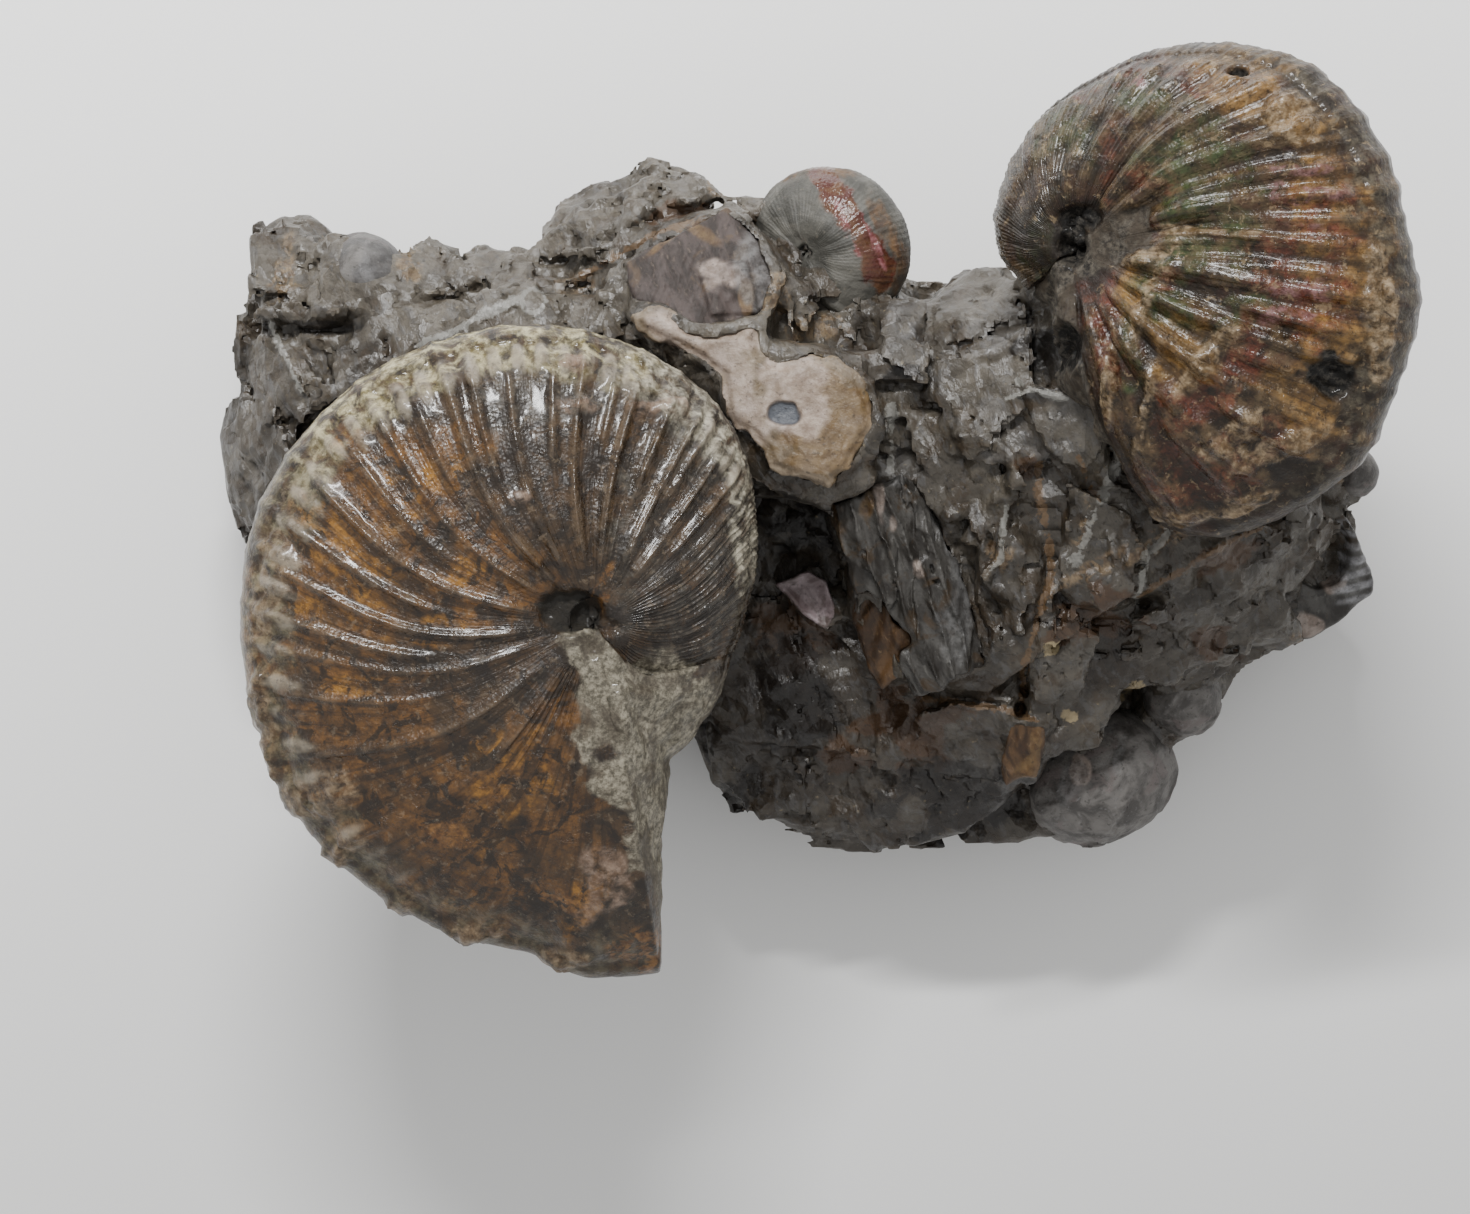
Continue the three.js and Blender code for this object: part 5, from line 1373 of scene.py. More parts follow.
# What the keys of a look say:
# grid: points round the shell and across its front and back. mouth: where mud closes it, in degrees of growth
# pit, flake, wave: depth of the umbilicus, height of the flakes and of broad swellings
# spacing, height, rib, between: the ribs in degrees and mm, their width and sharpness, and the ones between
# striae, fine, fine_strength: the fine growth ribs. strength: of the ribs, both along the growth
# coats: where across the flank each begins, and its strength along the growth
LARGE_LOOK = {
    "grid": (840, 74, 26), "seed": 4, "mouth": (331.5, 334), "pit": 0.12, "flake": 0.07, "wave": 0.3,
    "spacing": 16.6, "height": 0.62, "rib": (0.36, 0.6), "between": 0.95, "knob_spacing": 5.6, "knobs": 0.4,
    "striae": 3.3, "fine": 0.16, "spots": LARGE_SPOTS,
    "fine_strength": [(0, 0.7), (70, 0.7), (95, 0.2), (275, 0.1), (290, 1), (322, 1), (331, 0), (360, 0)],
    "strength": [(0, 0.3), (60, 0.45), (100, 0.9), (240, 1), (285, 0.55), (320, 0.25), (331, 0), (360, 0)],
    "coats": {
        "grey_coat": (0.74, [(0, 0), (30, 0.4), (60, 1), (125, 1), (150, 0), (360, 0)]),
        "olive_coat": (0.8, [
            (0, 0), (120, 0), (145, 1), (195, 1), (225, 0.35), (300, 0.25), (331, 0.2), (360, 0),
        ]),
    },
}
UPPER_LOOK = {
    "grid": (820, 74, 26), "seed": 8, "mouth": (292, 295), "pit": 0.3, "flake": 0.08, "wave": 0.4,
    "spacing": 14, "height": 0.85, "rib": (0.72, 0.15), "between": 0.9, "knob_spacing": 7, "knobs": 0.2,
    "striae": 2.5, "fine": 0.08, "spots": UPPER_SPOTS,
    "fine_strength": [(0, 0.8), (165, 0.9), (200, 0.25), (285, 0.25), (291, 0), (350, 0), (360, 0.8)],
    "strength": [(0, 0.4), (80, 0.45), (140, 0.6), (180, 1.1), (285, 1.2), (291, 0), (360, 0)],
    "coats": {
        "grey_coat": (0.86, [(0, 0), (120, 0), (180, 0.6), (250, 0.6), (290, 0.3), (360, 0)]),
        "olive_coat": (0.8, [(0, 0.2), (120, 0.1), (180, 0), (360, 0.2)]),
        # painted shade on the early coil, on the side turned to the top light
        "painted_shade": (0.1, [(0, 0.8), (50, 1), (130, 0.9), (165, 0.3), (200, 0), (360, 0.8)]),
    },
}
TOP_LOOK = {
    "grid": (360, 40, 16), "seed": 9, "mouth": (300, 310), "pit": 0.35, "flake": 0.05, "wave": 0.15,
    "spacing": 20, "height": 0.1, "rib": (0.4, 0.2), "between": 0.6, "knob_spacing": 10, "knobs": 0.0,
    "striae": 4, "fine": 0.04, "spots": TOP_SPOTS, "coats": {},
    "fine_strength": [(0, 1), (300, 1), (310, 0), (360, 0)],
    "strength": [(0, 1), (300, 1), (310, 0), (360, 0)],
}
large_shell = coil_piece("large_shell", "large_scaphite", LARGE, LARGE_LOOK)
upper_shell = coil_piece("upper_shell", "upper_scaphite", UPPER, UPPER_LOOK)
top_shell = coil_piece("top_shell", "top_scaphite", TOP, TOP_LOOK)

# %% [markdown]
# ## Scraps as pieces
# Each scrap's field is worked out on its own fine grid and caught in a net. The keys of the spots name the
# start of a scrap's name and the tone of its patch.

# %% Scrap pieces
SCRAP_STEP = 0.14
BIG_SCRAP_FACTOR = 1.4
SCRAP_MARGIN = 0.9
SCRAP_SLOTS = {
    "cream_clam_shell": "cream_shell", "striated_shell": "purple_brown_shell",
    "brown_shell_strip": "brown_shell", "pink_shell_chip": "pink_shell", "amber_shell_chip": "brown_shell",
    "ribbed_shell_fragment": "blue_grey_shell", "broken_whorl": "blue_grey_shell",
    "smooth_clam_mould": "smooth_mould", "dark_clam_mould": "smooth_mould",
    "small_clam_mould": "smooth_mould", "round_shell_stub": "smooth_mould",
}
SCRAP_SPOTS = {
    "cream ochre": [
        (2.2, 8.0, 1.6, 1.3, -10), (1.3, 12.1, 1.9, 0.7, -10), (-0.7, 3.9, 2.9, 0.9, 10),
        (2.0, 5.3, 1.7, 1.0, 30), (-2.3, 5.3, 1.4, 0.7, 0), (1.3, 6.8, 2.9, 2.9, 0),
    ],
    "cream pink": [
        (-10.1, 13.5, 3.3, 1.7, 25), (-7.6, 12.1, 3.1, 2.0, 25), (-5.7, 9.3, 1.3, 2.4, 0),
        (-3.0, 10.0, 2.4, 1.1, 0), (-4.8, 6.4, 1.4, 2.1, 0), (-2.6, 7.3, 2.0, 1.9, 0),
    ],
    "striated ochre": [
        (-8.6, 20.3, 1.6, 0.6, -30), (-11.6, 19.3, 1.9, 0.4, 40), (-5.5, 15.3, 0.6, 1.4, 0),
    ],
    "striated pink": [
        (-7.4, 16.9, 1.7, 1.2, 0),
    ],
    "striated grey": [
        (-5.0, 18.3, 1.4, 3.0, -10), (-4.1, 15.3, 0.9, 1.4, 0),
    ],
    "ribbed ochre": [
        (1.2, -3.2, 0.9, 3.1, 5), (0.7, -6.1, 0.9, 1.9, 0), (3.4, 1.0, 0.6, 1.0, 0),
    ],
    "ribbed pink": [
        (6.9, -3.8, 0.6, 1.0, 15), (4.2, 1.0, 0.5, 1.9, 10), (5.1, -0.4, 0.4, 1.3, 10),
    ],
    "ribbed grey": [
        (9.2, -1.8, 1.1, 4.3, 18), (10.9, -6.1, 1.3, 2.1, 18), (9.9, -9.0, 1.4, 1.9, 0),
        (5.9, 3.2, 1.1, 1.9, 0),
    ],
    # painted shade: the smooth clam mould toned darker on its lit top
    "smooth deep": [
        (-32.1, 17.5, 2.1, 2.4, 0),
    ],
    "amber ochre": [
        (15.4, -18.4, 0.9, 1.0, 0), (15.6, -16.5, 0.4, 1.4, 0),
    ],
    "dark grey": [
        (15.6, -17.5, 0.9, 2.1, -25), (19.9, -16.5, 2.1, 0.6, 25), (18.4, -19.7, 0.7, 2.1, -20),
        (22.0, -17.5, 0.6, 1.7, -10),
    ],
    "dark pink": [
        (16.7, -16.5, 0.9, 1.0, 0), (14.2, -19.7, 1.0, 0.6, 0), (19.2, -18.2, 0.6, 1.1, 0),
    ],
    "broken pink": [
        (34.2, -7.7, 2.4, 0.7, -8), (37.9, -4.3, 0.7, 1.0, 0),
    ],
    "broken grey": [
        (38.4, -3.2, 1.0, 3.1, 25), (33.4, -4.0, 0.9, 2.1, 0),
    ],
}


def scrap_piece(node):
    """A scrap in place of its solid: the net of its field over the solid's box."""
    step = SCRAP_STEP * (BIG_SCRAP_FACTOR if "dark" in node else 1.0)
    low, high = (np.array(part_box(node)[k]) / MM for k in (0, 1))
    lines = [np.arange(l - SCRAP_MARGIN, h + SCRAP_MARGIN, step) for l, h in zip(low, high)]
    points = np.stack(np.meshgrid(*lines, indexing="ij"), axis=-1).astype(np.float32)
    field = scrap_field(node, points).astype(np.float32)
    skin, faces = biggest_body(*surface_net(field, points[0, 0, 0], step))
    named = [(kind.split(), spots) for kind, spots in SCRAP_SPOTS.items()]
    shares = {kind: spots_share(skin, spots) for (start, kind), spots in named if node.startswith(start)}
    if "cream" in node:
        shares["hole"] = cream_hole(skin[:, 0], skin[:, 1])
    if "whorl" in node:
        shares["stripe"] = whorl_stripes(skin)
    piece = make_object(node + "_fine", skin, faces, shares)
    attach(piece, "root")
    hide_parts(node)
    return piece


scraps = {node: scrap_piece(node) for node, slot in SCRAP_SLOTS.items()}

# %% [markdown]
# ## Finishes
# A finish here is a chain of small steps: where on the piece, how far along a rib, how strong a noise is, and
# which colour that gives. The helper below adds one step at a time, with sizes in mm. Colours are linear.

# %% Paint helper
FLOW_TURN = -0.4  # radians: beds and streaks run down to the right in the photograph
FACET_BEND = 0.6


class Paint:
    """A material to which noise, masks, colours and bumps are added step by step."""

    def __init__(self, name):
        self.material = bpy.data.materials.new(name)
        self.material.use_nodes = True
        self.tree = self.material.node_tree
        self.shader = self.tree.nodes["Principled BSDF"]
        self.place = self.add("ShaderNodeTexCoord").outputs["Object"]
        self.bump_before = None

    def add(self, kind, inputs=None, **settings):
        """A new node with these inputs and settings."""
        node = self.tree.nodes.new(kind)
        for key, value in settings.items():
            setattr(node, key, value)
        for key, value in (inputs or {}).items():
            self.feed(node.inputs[key], value)
        return node

    def feed(self, socket, value):
        """Links another node's output to a socket, or sets a plain value there."""
        if isinstance(value, bpy.types.NodeSocket):
            self.tree.links.new(value, socket)
        else:
            socket.default_value = value

    def noise(self, size, detail=3, roughness=0.55, warp=0.0, stretch=None):
        """Noise from 0 to 1 whose lumps are about `size` mm across, longer where stretched along the flow."""
        where = self.place
        if stretch:
            for key, value in {"Rotation": (0, 0, FLOW_TURN), "Scale": stretch}.items():
                where = self.add("ShaderNodeMapping", {"Vector": where, key: value}).outputs["Vector"]
        made = self.add("ShaderNodeTexNoise", {
            "Vector": where, "Scale": 1 / (size * MM), "Detail": detail, "Roughness": roughness,
            "Distortion": warp,
        })
        return made.outputs["Fac"]

    def vector(self, operation, a, b):
        """One step of vector arithmetic."""
        return self.add("ShaderNodeVectorMath", {0: a, 1: b}, operation=operation).outputs["Vector"]

    def facets(self, size):
        """Flat tilted chips `size` mm across: each cell's own slope times the way from its middle."""
        inputs = {"Vector": self.place, "Scale": 0.8 / (size * MM), "Detail": 3}
        stray = self.add("ShaderNodeTexNoise", inputs).outputs["Color"]
        stray = self.vector("SUBTRACT", stray, (0.5, 0.5, 0.5))
        bent = self.vector("MULTIPLY", stray, (FACET_BEND * size * MM,) * 3)
        where = self.vector("ADD", self.place, bent)
        cell = self.add("ShaderNodeTexVoronoi", {"Vector": where, "Scale": 1 / (size * MM)})
        away = self.vector("SUBTRACT", where, cell.outputs["Position"])
        slope = self.vector("SUBTRACT", cell.outputs["Color"], (0.5, 0.5, 0.5))
        made = self.add("ShaderNodeVectorMath", {0: away, 1: slope}, operation="DOT_PRODUCT")
        return self.times(made.outputs["Value"], 1 / (size * MM))

    def growth_lines(self, degrees, reach):
        """Noise drawn out along the ribs: narrow in growth angle, long from the umbilicus to the edge."""
        x = self.times(self.value("growth"), 1 / degrees)
        y = self.times(self.value("way"), 1 / reach)
        where = self.add("ShaderNodeCombineXYZ", {"X": x, "Y": y}).outputs["Vector"]
        made = self.add("ShaderNodeTexNoise", {"Vector": where, "Scale": 1.0, "Detail": 3})
        return made.outputs["Fac"]

    def cells(self, size):
        """Distance to the nearest seed of cells that are `size` mm across."""
        made = self.add("ShaderNodeTexVoronoi", {"Vector": self.place, "Scale": 1 / (size * MM)})
        return made.outputs["Distance"]

    def value(self, name):
        """A value stored on the piece's points."""
        return self.add("ShaderNodeAttribute", attribute_name=name).outputs["Fac"]

    def math(self, operation, a, b, clamp=False):
        """One step of arithmetic."""
        made = self.add("ShaderNodeMath", {0: a, 1: b}, operation=operation, use_clamp=clamp)
        return made.outputs[0]

    def between(self, x, low, high):
        """0 where x is at low and 1 where it is at high, with a smooth S between."""
        inputs = {"Value": x, "From Min": low, "From Max": high}
        return self.add("ShaderNodeMapRange", inputs, interpolation_type="SMOOTHSTEP").outputs["Result"]

    def mix(self, share, a, b):
        """Colour a where the share is 0 and colour b where it is 1."""
        made = self.add("ShaderNodeMix", {"Factor": share}, data_type="RGBA")
        self.feed(made.inputs["A"], a if isinstance(a, bpy.types.NodeSocket) else (*a, 1))
        self.feed(made.inputs["B"], b if isinstance(b, bpy.types.NodeSocket) else (*b, 1))
        return made.outputs["Result"]

    def times(self, a, b):
        """a times b."""
        return self.math("MULTIPLY", a, b)

    def but(self, a):
        """What is left of 1."""
        return self.math("SUBTRACT", 1.0, a)

    def stain(self, tone, value, low, high, strength, colour):
        """The tone with a colour laid over it where a value rises from low to high."""
        return self.mix(self.times(self.between(value, low, high), strength), tone, colour)

    def stray(self, size, roughness, warp, middle, strength):
        """Noise less its middle, times a strength, to break up borders with."""
        return self.times(self.math("SUBTRACT", self.noise(size, 5, roughness, warp), middle), strength)

    def frayed(self, name, stray, low, high):
        """A stored share with its border broken up by stray noise."""
        return self.between(self.math("ADD", self.value(name), stray), low, high)

    def spot(self, name, size=1.2):
        """A stored share of a spot with a frayed border."""
        return self.frayed(name, self.stray(size, 0.65, 0.4, 0.5, 2.4), 0.30, 0.75)

    def patch(self, tone, share, strength, low, high, size=1.5, fray=0.16):
        """The tone with a patch of two more tones where a share is high, frayed and mottled by noise."""
        share = self.value(share) if isinstance(share, str) else share
        mottle = self.between(self.noise(size, 5, 0.62, 0.6), 0.5 - fray, 0.5 + fray)
        cover = self.times(self.between(share, 0.05, 0.8), mottle)
        inner = self.mix(self.between(self.noise(0.7, 4, 0.65), 0.35, 0.65), low, high)
        return self.mix(self.times(cover, strength), tone, inner)

    def bump(self, height, depth):
        """Fine relief of the given depth in mm, on top of the relief added before."""
        inputs = {"Height": height, "Distance": depth * MM, "Strength": 1.0}
        if self.bump_before:
            inputs["Normal"] = self.bump_before
        self.bump_before = self.add("ShaderNodeBump", inputs).outputs["Normal"]

    def finish(self, colour, roughness, **constants):
        """Joins colour, roughness and relief to the shader, and sets its other values as constants."""
        self.feed(self.shader.inputs["Base Color"], colour)
        self.feed(self.shader.inputs["Roughness"], roughness)
        if self.bump_before:
            self.feed(self.shader.inputs["Normal"], self.bump_before)
        for key, value in constants.items():
            self.shader.inputs[key.replace("_", " ")].default_value = value
        return self.material


def painted(piece, material):
    """Gives the piece this one material."""
    piece.data.materials.clear()
    piece.data.materials.append(material)


# %% Rock finish
def rock_finish():
    """Dark mudstone: broad tones, streaks with a painted grey sheen, edges paler by wear and a painted
    highlight, painted shade in creases and recesses, paler upper and darker lower parts partly painted light
    and shade, pale and tan lines, a satin sheen.
    """
    p = Paint("mudstone")
    middle = p.noise(2.2, 5, 0.62, 0.5)
    fine = p.noise(0.5, 5, 0.7)
    streak = p.noise(1.0, 5, 0.62, 0.5, stretch=(1.5, 0.6, 1.2))
    edge = p.value("edge")
    broad = p.between(p.noise(8.0, 4, 0.6, 0.6), 0.40, 0.60)
    tone = p.mix(broad, (0.034, 0.028, 0.021), (0.078, 0.068, 0.054))
    tone = p.stain(tone, middle, 0.50, 0.62, 0.75, (0.040, 0.027, 0.015))
    # partly painted light: the upper regions made paler
    tone = p.patch(tone, "light", 0.75, (0.074, 0.062, 0.046), (0.140, 0.122, 0.094), 3.0, 0.3)
    # partly painted shade: the lower regions and the left side made dark brown
    tone = p.patch(tone, "deep", 0.85, (0.012, 0.008, 0.006), (0.032, 0.022, 0.014), 3.0, 0.35)
    # painted sheen: a pale bluish grey laid along the streaks
    tone = p.stain(tone, streak, 0.53, 0.63, 0.4, (0.086, 0.085, 0.086))
    brown = p.mix(middle, (0.030, 0.014, 0.006), (0.085, 0.046, 0.022))
    tone = p.mix(p.times(p.spot("brown"), 0.8), tone, brown)
    tone = p.patch(tone, "pale", 0.35, (0.080, 0.080, 0.082), (0.150, 0.152, 0.160), 2.4, 0.2)
    tone = p.patch(tone, "tan", 0.75, (0.080, 0.048, 0.024), (0.230, 0.165, 0.095), 0.9, 0.06)
    # painted shade: near black where the dark spots lie
    tone = p.mix(p.times(p.spot("dark"), 0.8), tone, (0.009, 0.007, 0.006))
    # edges that stand out are paler: partly wear, partly a painted highlight
    worn_and_highlit_edge = p.times(p.between(edge, 0.06, 0.24), p.between(middle, 0.38, 0.58))
    tone = p.mix(p.times(worn_and_highlit_edge, 0.4), tone, p.mix(fine, (0.110, 0.075, 0.042), (0.170, 0.150, 0.120)))
    # painted shade: the creases, where the edge value is below 0, darkened to near black
    tone = p.stain(tone, p.times(edge, -1.0), 0.04, 0.22, 0.8, (0.008, 0.006, 0.005))
    tone = p.stain(tone, fine, 0.62, 0.72, 0.2, (0.130, 0.110, 0.085))
    tone = p.stain(tone, p.noise(0.35, 3, 0.5), 0.62, 0.70, 0.5, (0.007, 0.006, 0.005))
    stray = p.stray(0.9, 0.7, 0.4, 0.56, 2.2)
    white = p.frayed("white_line", stray, 0.36, 0.54)
    tone = p.mix(p.times(white, 0.8), tone, p.mix(fine, (0.110, 0.105, 0.090), (0.330, 0.325, 0.300)))
    tan = p.frayed("tan_line", stray, 0.38, 0.56)
    tone = p.mix(p.times(tan, 0.8), tone, p.mix(fine, (0.046, 0.024, 0.010), (0.180, 0.112, 0.056)))
    tone = p.mix(p.spot("grain", 0.5), tone, p.mix(fine, (0.120, 0.085, 0.040), (0.330, 0.270, 0.160)))
    p.bump(p.facets(3.0), 1.7)
    p.bump(p.facets(1.1), 0.45)
    p.bump(streak, 0.14)
    p.bump(p.noise(0.35, 3, 0.6), 0.04)
    rough = p.math("ADD", 0.20, p.times(p.noise(1.2, 4, 0.6), 0.36))
    return p.finish(tone, rough, Specular_IOR_Level=0.5)


mudstone = rock_finish()
for rock in rocks:
    painted(rock, mudstone)

# %% [markdown]
# ## Shell finishes
# The big scaphite is dark brown with amber glowing between thin pale rib crests, and olive and grey mud
# towards its outer edge. The upper one is brown with green and red mother-of-pearl, pink glints painted on its
# crests and a golden outer edge. Crests come from the stored rib height, the coats and patches from the stored
# shares, each broken up by its own noise. The pale crests are partly worn shell and partly a painted
# highlight.
# The upper shell's early coil and rib troughs carry painted shade, and both shells' pits and hollows are
# painted near black as shade.

# %% Coiled shell finishes
def shell_speckle(p, tone, pale, dark, pale_share, dark_share):
    """Fine crusty specks and dark pores on top of everything else."""
    tone = p.stain(tone, p.noise(0.75, 5, 0.72, 0.4), 0.57, 0.66, pale_share, pale)
    return p.stain(tone, p.noise(0.5, 4, 0.7), 0.56, 0.68, dark_share, dark)


def shell_relief(p):
    """Growth-line roughness, flaked edges and the crystal grain that makes the shell sparkle."""
    p.bump(p.growth_lines(0.9, 0.6), 0.06)
    p.bump(p.noise(1.2, 3, 0.5, 0.5), 0.07)
    p.bump(p.between(p.noise(1.7, 5, 0.65, 0.8), 0.49, 0.54), 0.025)
    p.bump(p.cells(0.26), 0.035)


def shell_rough(p, low, crest, *muddy):
    """Roughness: lowest on polished crests, higher where noise or any of the muddy shares is high."""
    rough = p.math("ADD", low + 0.1, p.times(p.between(p.noise(0.9, 5, 0.68), 0.35, 0.65), 0.22))
    rough = p.math("SUBTRACT", rough, p.times(crest, 0.12))
    for share in muddy:
        rough = p.math("ADD", rough, p.times(share, 0.4), clamp=True)
    return rough


def mud_cover(p, tone, low, high):
    """Granular mud where its share is high, with a border that crumbles. Returns the tone and the cover."""
    cover = p.frayed("matrix", p.stray(1.1, 0.75, 0.5, 0.5, 2.0), 0.15, 0.85)
    mud = p.mix(p.between(p.noise(0.45, 5, 0.75), 0.36, 0.66), low, high)
    mud = p.stain(mud, p.noise(2.6, 5, 0.65, 0.5), 0.44, 0.60, 0.75, (0.046, 0.034, 0.022))
    return p.mix(p.times(cover, 0.9), tone, mud), cover


def amber_finish():
    """The big shell: amber and orange in dark brown, pale crests that are partly a painted highlight, grey and
    olive mud towards its edge, and its pit and hollows painted near black as shade.
    """
    p = Paint("amber shell")
    rib = p.value("rib")
    trough = p.but(p.between(rib, 0.06, 0.30))
    mottle = p.between(p.noise(1.6, 5, 0.62, 0.5), 0.40, 0.60)
    tone = p.mix(mottle, (0.014, 0.008, 0.004), (0.054, 0.029, 0.011))
    tone = p.stain(tone, p.noise(4.5, 4, 0.6, 0.6), 0.45, 0.60, 0.4, (0.040, 0.026, 0.013))
    tone = p.patch(tone, "grey", 0.75, (0.024, 0.021, 0.016), (0.090, 0.080, 0.062))
    tone = p.patch(tone, "amber", 0.95, (0.075, 0.031, 0.006), (0.205, 0.090, 0.017), 2.6, 0.3)
    orange = p.times(p.value("orange"), trough)
    tone = p.patch(tone, orange, 0.95, (0.140, 0.060, 0.008), (0.300, 0.140, 0.020), 2.2, 0.1)
    tone = p.stain(tone, p.noise(2.0, 5, 0.6, 0.9), 0.53, 0.60, 0.85, (0.012, 0.007, 0.003))
    tone = p.stain(tone, p.growth_lines(2.4, 0.8), 0.50, 0.60, 0.6, (0.014, 0.008, 0.004))
    # pale crests: partly worn shell, partly a painted highlight along the crests
    pale_crest_and_highlight = p.times(p.between(rib, 0.20, 0.50), p.between(p.noise(1.6, 4, 0.6), 0.35, 0.62))
    tone = p.mix(p.times(pale_crest_and_highlight, 0.32), tone, (0.210, 0.150, 0.095))
    tone = p.patch(tone, "olive_coat", 0.9, (0.125, 0.098, 0.028), (0.500, 0.445, 0.270), 1.4, 0.12)
    tone = p.patch(tone, "grey_coat", 0.9, (0.120, 0.108, 0.076), (0.470, 0.430, 0.330), 1.1, 0.15)
    tone = p.patch(tone, "crust", 0.85, (0.090, 0.050, 0.020), (0.270, 0.195, 0.115), 1.0)
    knob = p.times(p.between(p.value("knob"), 0.10, 0.26), p.between(p.noise(2.5, 3, 0.5), 0.4, 0.6))
    tone = p.mix(p.times(knob, 0.6), tone, (0.330, 0.285, 0.215))
    tone = shell_speckle(p, tone, (0.230, 0.175, 0.115), (0.007, 0.005, 0.004), 0.35, 0.55)
    tone, mud = mud_cover(p, tone, (0.080, 0.070, 0.048), (0.360, 0.325, 0.245))
    tone = p.patch(tone, "rust", 0.8, (0.090, 0.036, 0.008), (0.230, 0.110, 0.030), 0.8, 0.08)
    tone = p.patch(tone, "flake", 0.85, (0.150, 0.090, 0.055), (0.290, 0.205, 0.150), 1.0)
    # painted shade: the umbilicus pit and the hollows near black
    deep = p.math("MAXIMUM", p.between(p.value("hollow"), 0.15, 0.6), p.between(p.value("pit"), 0.6, 1.0))
    black = p.mix(p.noise(0.6, 4, 0.6), (0.005, 0.004, 0.003), (0.020, 0.017, 0.011))
    tone = p.mix(p.times(deep, 0.9), tone, black)
    shell_relief(p)
    coats = [p.value("olive_coat"), p.value("grey_coat")]
    rough = shell_rough(p, 0.16, p.between(rib, 0.1, 0.35), mud, *coats, deep)
    return p.finish(tone, rough, Specular_IOR_Level=0.45, Coat_Weight=0.25, Coat_Roughness=0.1)


def gold_finish():
    """The upper shell: brown with green, red and gold, painted pink glints on its crests, and painted shade in
    its troughs and on its early coil.
    """
    p = Paint("gold shell")
    rib = p.value("rib")
    trough = p.but(p.between(rib, 0.06, 0.30))
    mottle = p.between(p.noise(1.5, 5, 0.62, 0.5), 0.40, 0.60)
    tone = p.mix(mottle, (0.014, 0.009, 0.005), (0.056, 0.036, 0.018))
    tone = p.stain(tone, p.noise(3.0, 4, 0.6, 0.6), 0.48, 0.60, 0.6, (0.050, 0.018, 0.012))
    tone = p.patch(tone, "gold", 0.95, (0.130, 0.068, 0.018), (0.380, 0.212, 0.064), 2.2, 0.3)
    tone = p.patch(tone, "green", 0.9, (0.018, 0.032, 0.010), (0.058, 0.082, 0.030), 1.7, 0.2)
    tone = p.patch(tone, "red", 0.85, (0.050, 0.008, 0.005), (0.155, 0.036, 0.018), 1.5)
    # pale crests: partly worn shell, partly a painted highlight along the crests
    pale_crest_and_highlight = p.times(p.between(rib, 0.18, 0.45), p.between(p.noise(1.2, 5, 0.65), 0.40, 0.64))
    crest = p.mix(p.noise(0.6, 4, 0.6), (0.110, 0.060, 0.022), (0.250, 0.180, 0.100))
    tone = p.stain(tone, p.growth_lines(2.2, 0.8), 0.50, 0.60, 0.5, (0.016, 0.010, 0.006))
    # painted shade: the rib troughs darkened to near black
    tone = p.mix(p.times(trough, 0.65), tone, (0.012, 0.007, 0.004))
    # painted shade: the early coil, on the side turned to the top light, made darker
    tone = p.mix(p.times(p.value("painted_shade"), 0.5), tone, (0.016, 0.013, 0.009))
    tone = p.mix(p.times(pale_crest_and_highlight, 0.3), tone, crest)
    # painted highlight: pink glints on the rib crests
    pink = p.times(p.value("pink"), p.between(rib, 0.20, 0.50))
    tone = p.patch(tone, pink, 0.75, (0.100, 0.036, 0.034), (0.280, 0.150, 0.150), 1.2, 0.1)
    tone = p.patch(tone, "grey_coat", 0.6, (0.040, 0.034, 0.024), (0.150, 0.130, 0.090), 1.3, 0.08)
    tone = p.patch(tone, "olive_coat", 0.8, (0.040, 0.030, 0.014), (0.150, 0.125, 0.078), 1.5, 0.12)
    tone = p.patch(tone, "crust", 0.9, (0.110, 0.066, 0.026), (0.340, 0.255, 0.160), 0.9)
    tone = shell_speckle(p, tone, (0.300, 0.220, 0.125), (0.008, 0.005, 0.004), 0.45, 0.65)
    tone, mud = mud_cover(p, tone, (0.014, 0.012, 0.010), (0.120, 0.105, 0.082))
    # painted shade: the umbilicus pit and the hollows near black
    deep = p.between(p.math("ADD", p.value("hollow"), p.value("pit")), 0.1, 0.6)
    black = p.mix(p.between(p.noise(0.5, 4, 0.7), 0.45, 0.65), (0.006, 0.005, 0.004), (0.050, 0.044, 0.036))
    tone = p.mix(deep, tone, black)
    shell_relief(p)
    muddy = [p.value(name) for name in ("grey_coat", "olive_coat", "hollow", "pit")]
    rough = shell_rough(p, 0.17, p.between(rib, 0.1, 0.35), mud, *muddy)
    return p.finish(tone, rough, Specular_IOR_Level=0.3, Coat_Weight=0.15, Coat_Roughness=0.12)


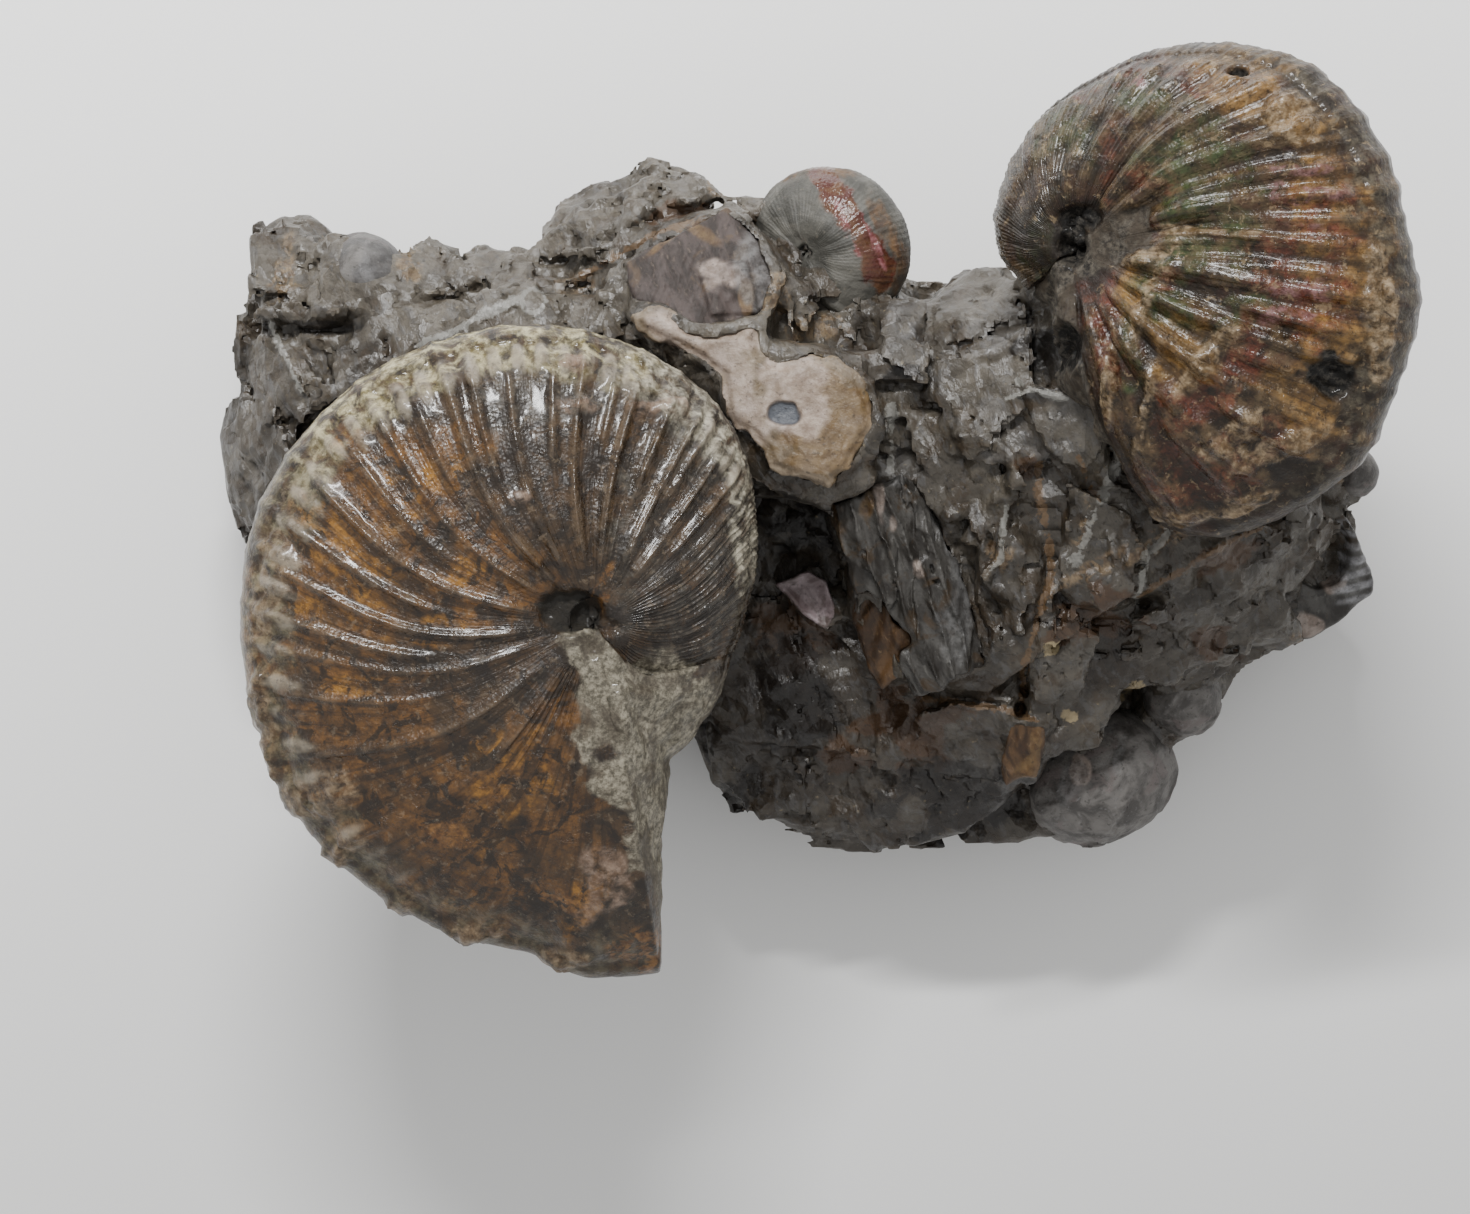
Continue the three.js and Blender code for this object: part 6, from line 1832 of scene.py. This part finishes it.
def nacre_finish():
    """The small buried shell: grey mud outside, and a red and orange band where shell is left, with painted
    pink highlights in it.
    """
    p = Paint("nacre under mud")
    mottle = p.between(p.noise(2.4, 5, 0.6, 0.4), 0.40, 0.62)
    tone = p.mix(mottle, (0.046, 0.044, 0.037), (0.095, 0.090, 0.076))
    tone = p.stain(tone, p.noise(0.45, 5, 0.7), 0.58, 0.7, 0.4, (0.170, 0.150, 0.115))
    tone = p.patch(tone, "brown", 0.9, (0.050, 0.020, 0.007), (0.150, 0.078, 0.030), 1.6, 0.2)
    band = p.frayed("nacre", p.stray(0.9, 0.7, 0.5, 0.5, 2.0), 0.20, 0.80)
    mottle = p.between(p.noise(1.3, 4, 0.6, 0.5), 0.38, 0.62)
    red = p.mix(mottle, (0.066, 0.016, 0.011), (0.100, 0.046, 0.022))
    # painted highlight: pink streaks in the nacre band
    red = p.patch(red, "pink", 0.7, (0.150, 0.030, 0.034), (0.330, 0.140, 0.150), 1.0, 0.1)
    tone = p.mix(p.times(band, 0.95), tone, red)
    p.bump(p.noise(1.4, 5, 0.6), 0.16)
    p.bump(p.noise(0.25, 3, 0.6), 0.05)
    rough = p.math("SUBTRACT", 0.60, p.times(band, 0.44))
    return p.finish(tone, rough, Specular_IOR_Level=0.5)


painted(large_shell, amber_finish())
painted(upper_shell, gold_finish())
painted(top_shell, nacre_finish())

# %% [markdown]
# ## Scrap finishes
# Each scrap has one leading colour pair, stored patches of ochre, pink and grey, speckle and its own gloss.

# %% Scrap finishes
PATCH_TONES = {
    "ochre": ((0.090, 0.045, 0.014), (0.200, 0.125, 0.050)),
    "pink": ((0.320, 0.245, 0.200), (0.580, 0.480, 0.420)),
    "grey": ((0.060, 0.058, 0.055), (0.190, 0.188, 0.186)),
    "stripe": ((0.200, 0.200, 0.208), (0.430, 0.430, 0.450)),
    # painted shade tones, used on the smooth clam mould
    "deep": ((0.030, 0.029, 0.030), (0.075, 0.074, 0.077)),
}


def scrap_finish(name, tones, stain, speck, smallest_roughness, stretch=None, depth=0.12):
    """Two main tones, stains, stored patches, fine specks, stretched growth texture and fine grain."""
    p = Paint(name)
    grain = p.noise(0.5, 5, 0.65, 0.2, stretch=stretch)
    tone = p.mix(p.between(p.noise(1.7, 5, 0.6, 0.5, stretch=stretch), 0.38, 0.62), *tones)
    tone = p.stain(tone, p.noise(2.3, 4, 0.6, 0.6), 0.54, 0.64, 0.8, stain)
    for kind, (pale, strong) in PATCH_TONES.items():
        tone = p.patch(tone, kind, 0.95, pale, strong, 2.2, 0.8)
    tone = p.stain(tone, grain, 0.58, 0.70, 0.5, speck)
    tone = p.mix(p.value("hole"), tone, p.mix(grain, (0.050, 0.055, 0.066), (0.100, 0.108, 0.124)))
    tone = p.stain(tone, p.noise(0.4, 3, 0.6), 0.60, 0.70, 0.5, (0.010, 0.008, 0.006))
    p.bump(p.noise(0.9, 5, 0.6, 0.3, stretch=stretch), depth)
    p.bump(p.noise(0.2, 3, 0.6), 0.04)
    rough = p.math("ADD", smallest_roughness, p.times(grain, 0.3))
    return p.finish(tone, rough, Specular_IOR_Level=0.4)


SCRAP_LOOKS = {
    "cream_shell": {
        "tones": ((0.120, 0.090, 0.058), (0.220, 0.172, 0.120)), "stain": (0.120, 0.078, 0.032),
        "speck": (0.330, 0.270, 0.200), "smallest_roughness": 0.3,
    },
    "purple_brown_shell": {
        "tones": ((0.022, 0.015, 0.012), (0.062, 0.046, 0.041)), "stain": (0.075, 0.048, 0.028),
        "speck": (0.140, 0.110, 0.085), "smallest_roughness": 0.5, "stretch": (1.6, 0.5, 1.0),
    },
    "blue_grey_shell": {
        "tones": ((0.022, 0.019, 0.016), (0.068, 0.064, 0.058)), "stain": (0.046, 0.030, 0.016),
        "speck": (0.150, 0.145, 0.130), "smallest_roughness": 0.26, "stretch": (1.1, 0.5, 1.0),
    },
    "brown_shell": {
        "tones": ((0.028, 0.015, 0.007), (0.085, 0.046, 0.020)), "stain": (0.045, 0.022, 0.010),
        "speck": (0.190, 0.125, 0.065), "smallest_roughness": 0.34, "stretch": (1.5, 0.5, 1.0),
    },
    "pink_shell": {
        "tones": ((0.110, 0.080, 0.078), (0.250, 0.200, 0.205)), "stain": (0.060, 0.045, 0.036),
        "speck": (0.360, 0.320, 0.330), "smallest_roughness": 0.2,
    },
    "smooth_mould": {
        "tones": ((0.056, 0.051, 0.047), (0.140, 0.131, 0.122)), "stain": (0.120, 0.100, 0.094),
        "speck": (0.190, 0.186, 0.186), "smallest_roughness": 0.36, "depth": 0.1,
    },
}
scrap_finishes = {slot: scrap_finish(slot.replace("_", " "), **look) for slot, look in SCRAP_LOOKS.items()}
for node, piece in scraps.items():
    painted(piece, scrap_finishes[SCRAP_SLOTS[node]])

# %% [markdown]
# ## Floor and light
# A plain pale floor carries the block. One big soft light stands towards the top of the picture, as in the
# photograph. A weak one fills from the lower left, another from the right, and the sky is a faint white.

# %% Floor and light
FLOOR_SIZE = 3000.0
FLOOR_COLOUR, FLOOR_ROUGHNESS = (0.86, 0.86, 0.85, 1), 0.6
SKY_STRENGTH = 0.75
half = FLOOR_SIZE / 2
corners = np.array([(-half, -half, 0), (half, -half, 0), (half, half, 0), (-half, half, 0)], float)
floor = make_object("floor", corners, np.array([[0, 1, 2, 3]]))
floor_paint = Paint("floor")
painted(floor, floor_paint.finish(FLOOR_COLOUR, FLOOR_ROUGHNESS))


def soft_light(name, spot, size, watts):
    """A square light at a spot in mm, turned to the block, with its size in mm."""
    data = bpy.data.lights.new(name, "AREA")
    data.size = size * MM
    data.energy = watts
    lamp = bpy.data.objects.new(name, data)
    lamp.location = [v * MM for v in spot]
    towards = -np.array(spot, float) / np.linalg.norm(spot)
    pitch, turn = math.acos(-towards[2]), math.atan2(towards[0], -towards[1])
    lamp.rotation_euler = (pitch, 0, turn)
    bpy.context.scene.collection.objects.link(lamp)


# place in mm, size in mm and watts
LIGHTS = {
    "key": ((-60, 340, 410), 190, 21.0),
    "fill": ((-330, -260, 300), 300, 1.8),
    "rim": ((380, 60, 260), 220, 2.8),
}
for name, (spot, size, watts) in LIGHTS.items():
    soft_light(name, spot, size, watts)
world = bpy.data.worlds.new("world")
world.use_nodes = True
world.node_tree.nodes["Background"].inputs["Color"].default_value = (1, 1, 1, 1)
world.node_tree.nodes["Background"].inputs["Strength"].default_value = SKY_STRENGTH
bpy.context.scene.world = world
print("lights:", ", ".join(LIGHTS))
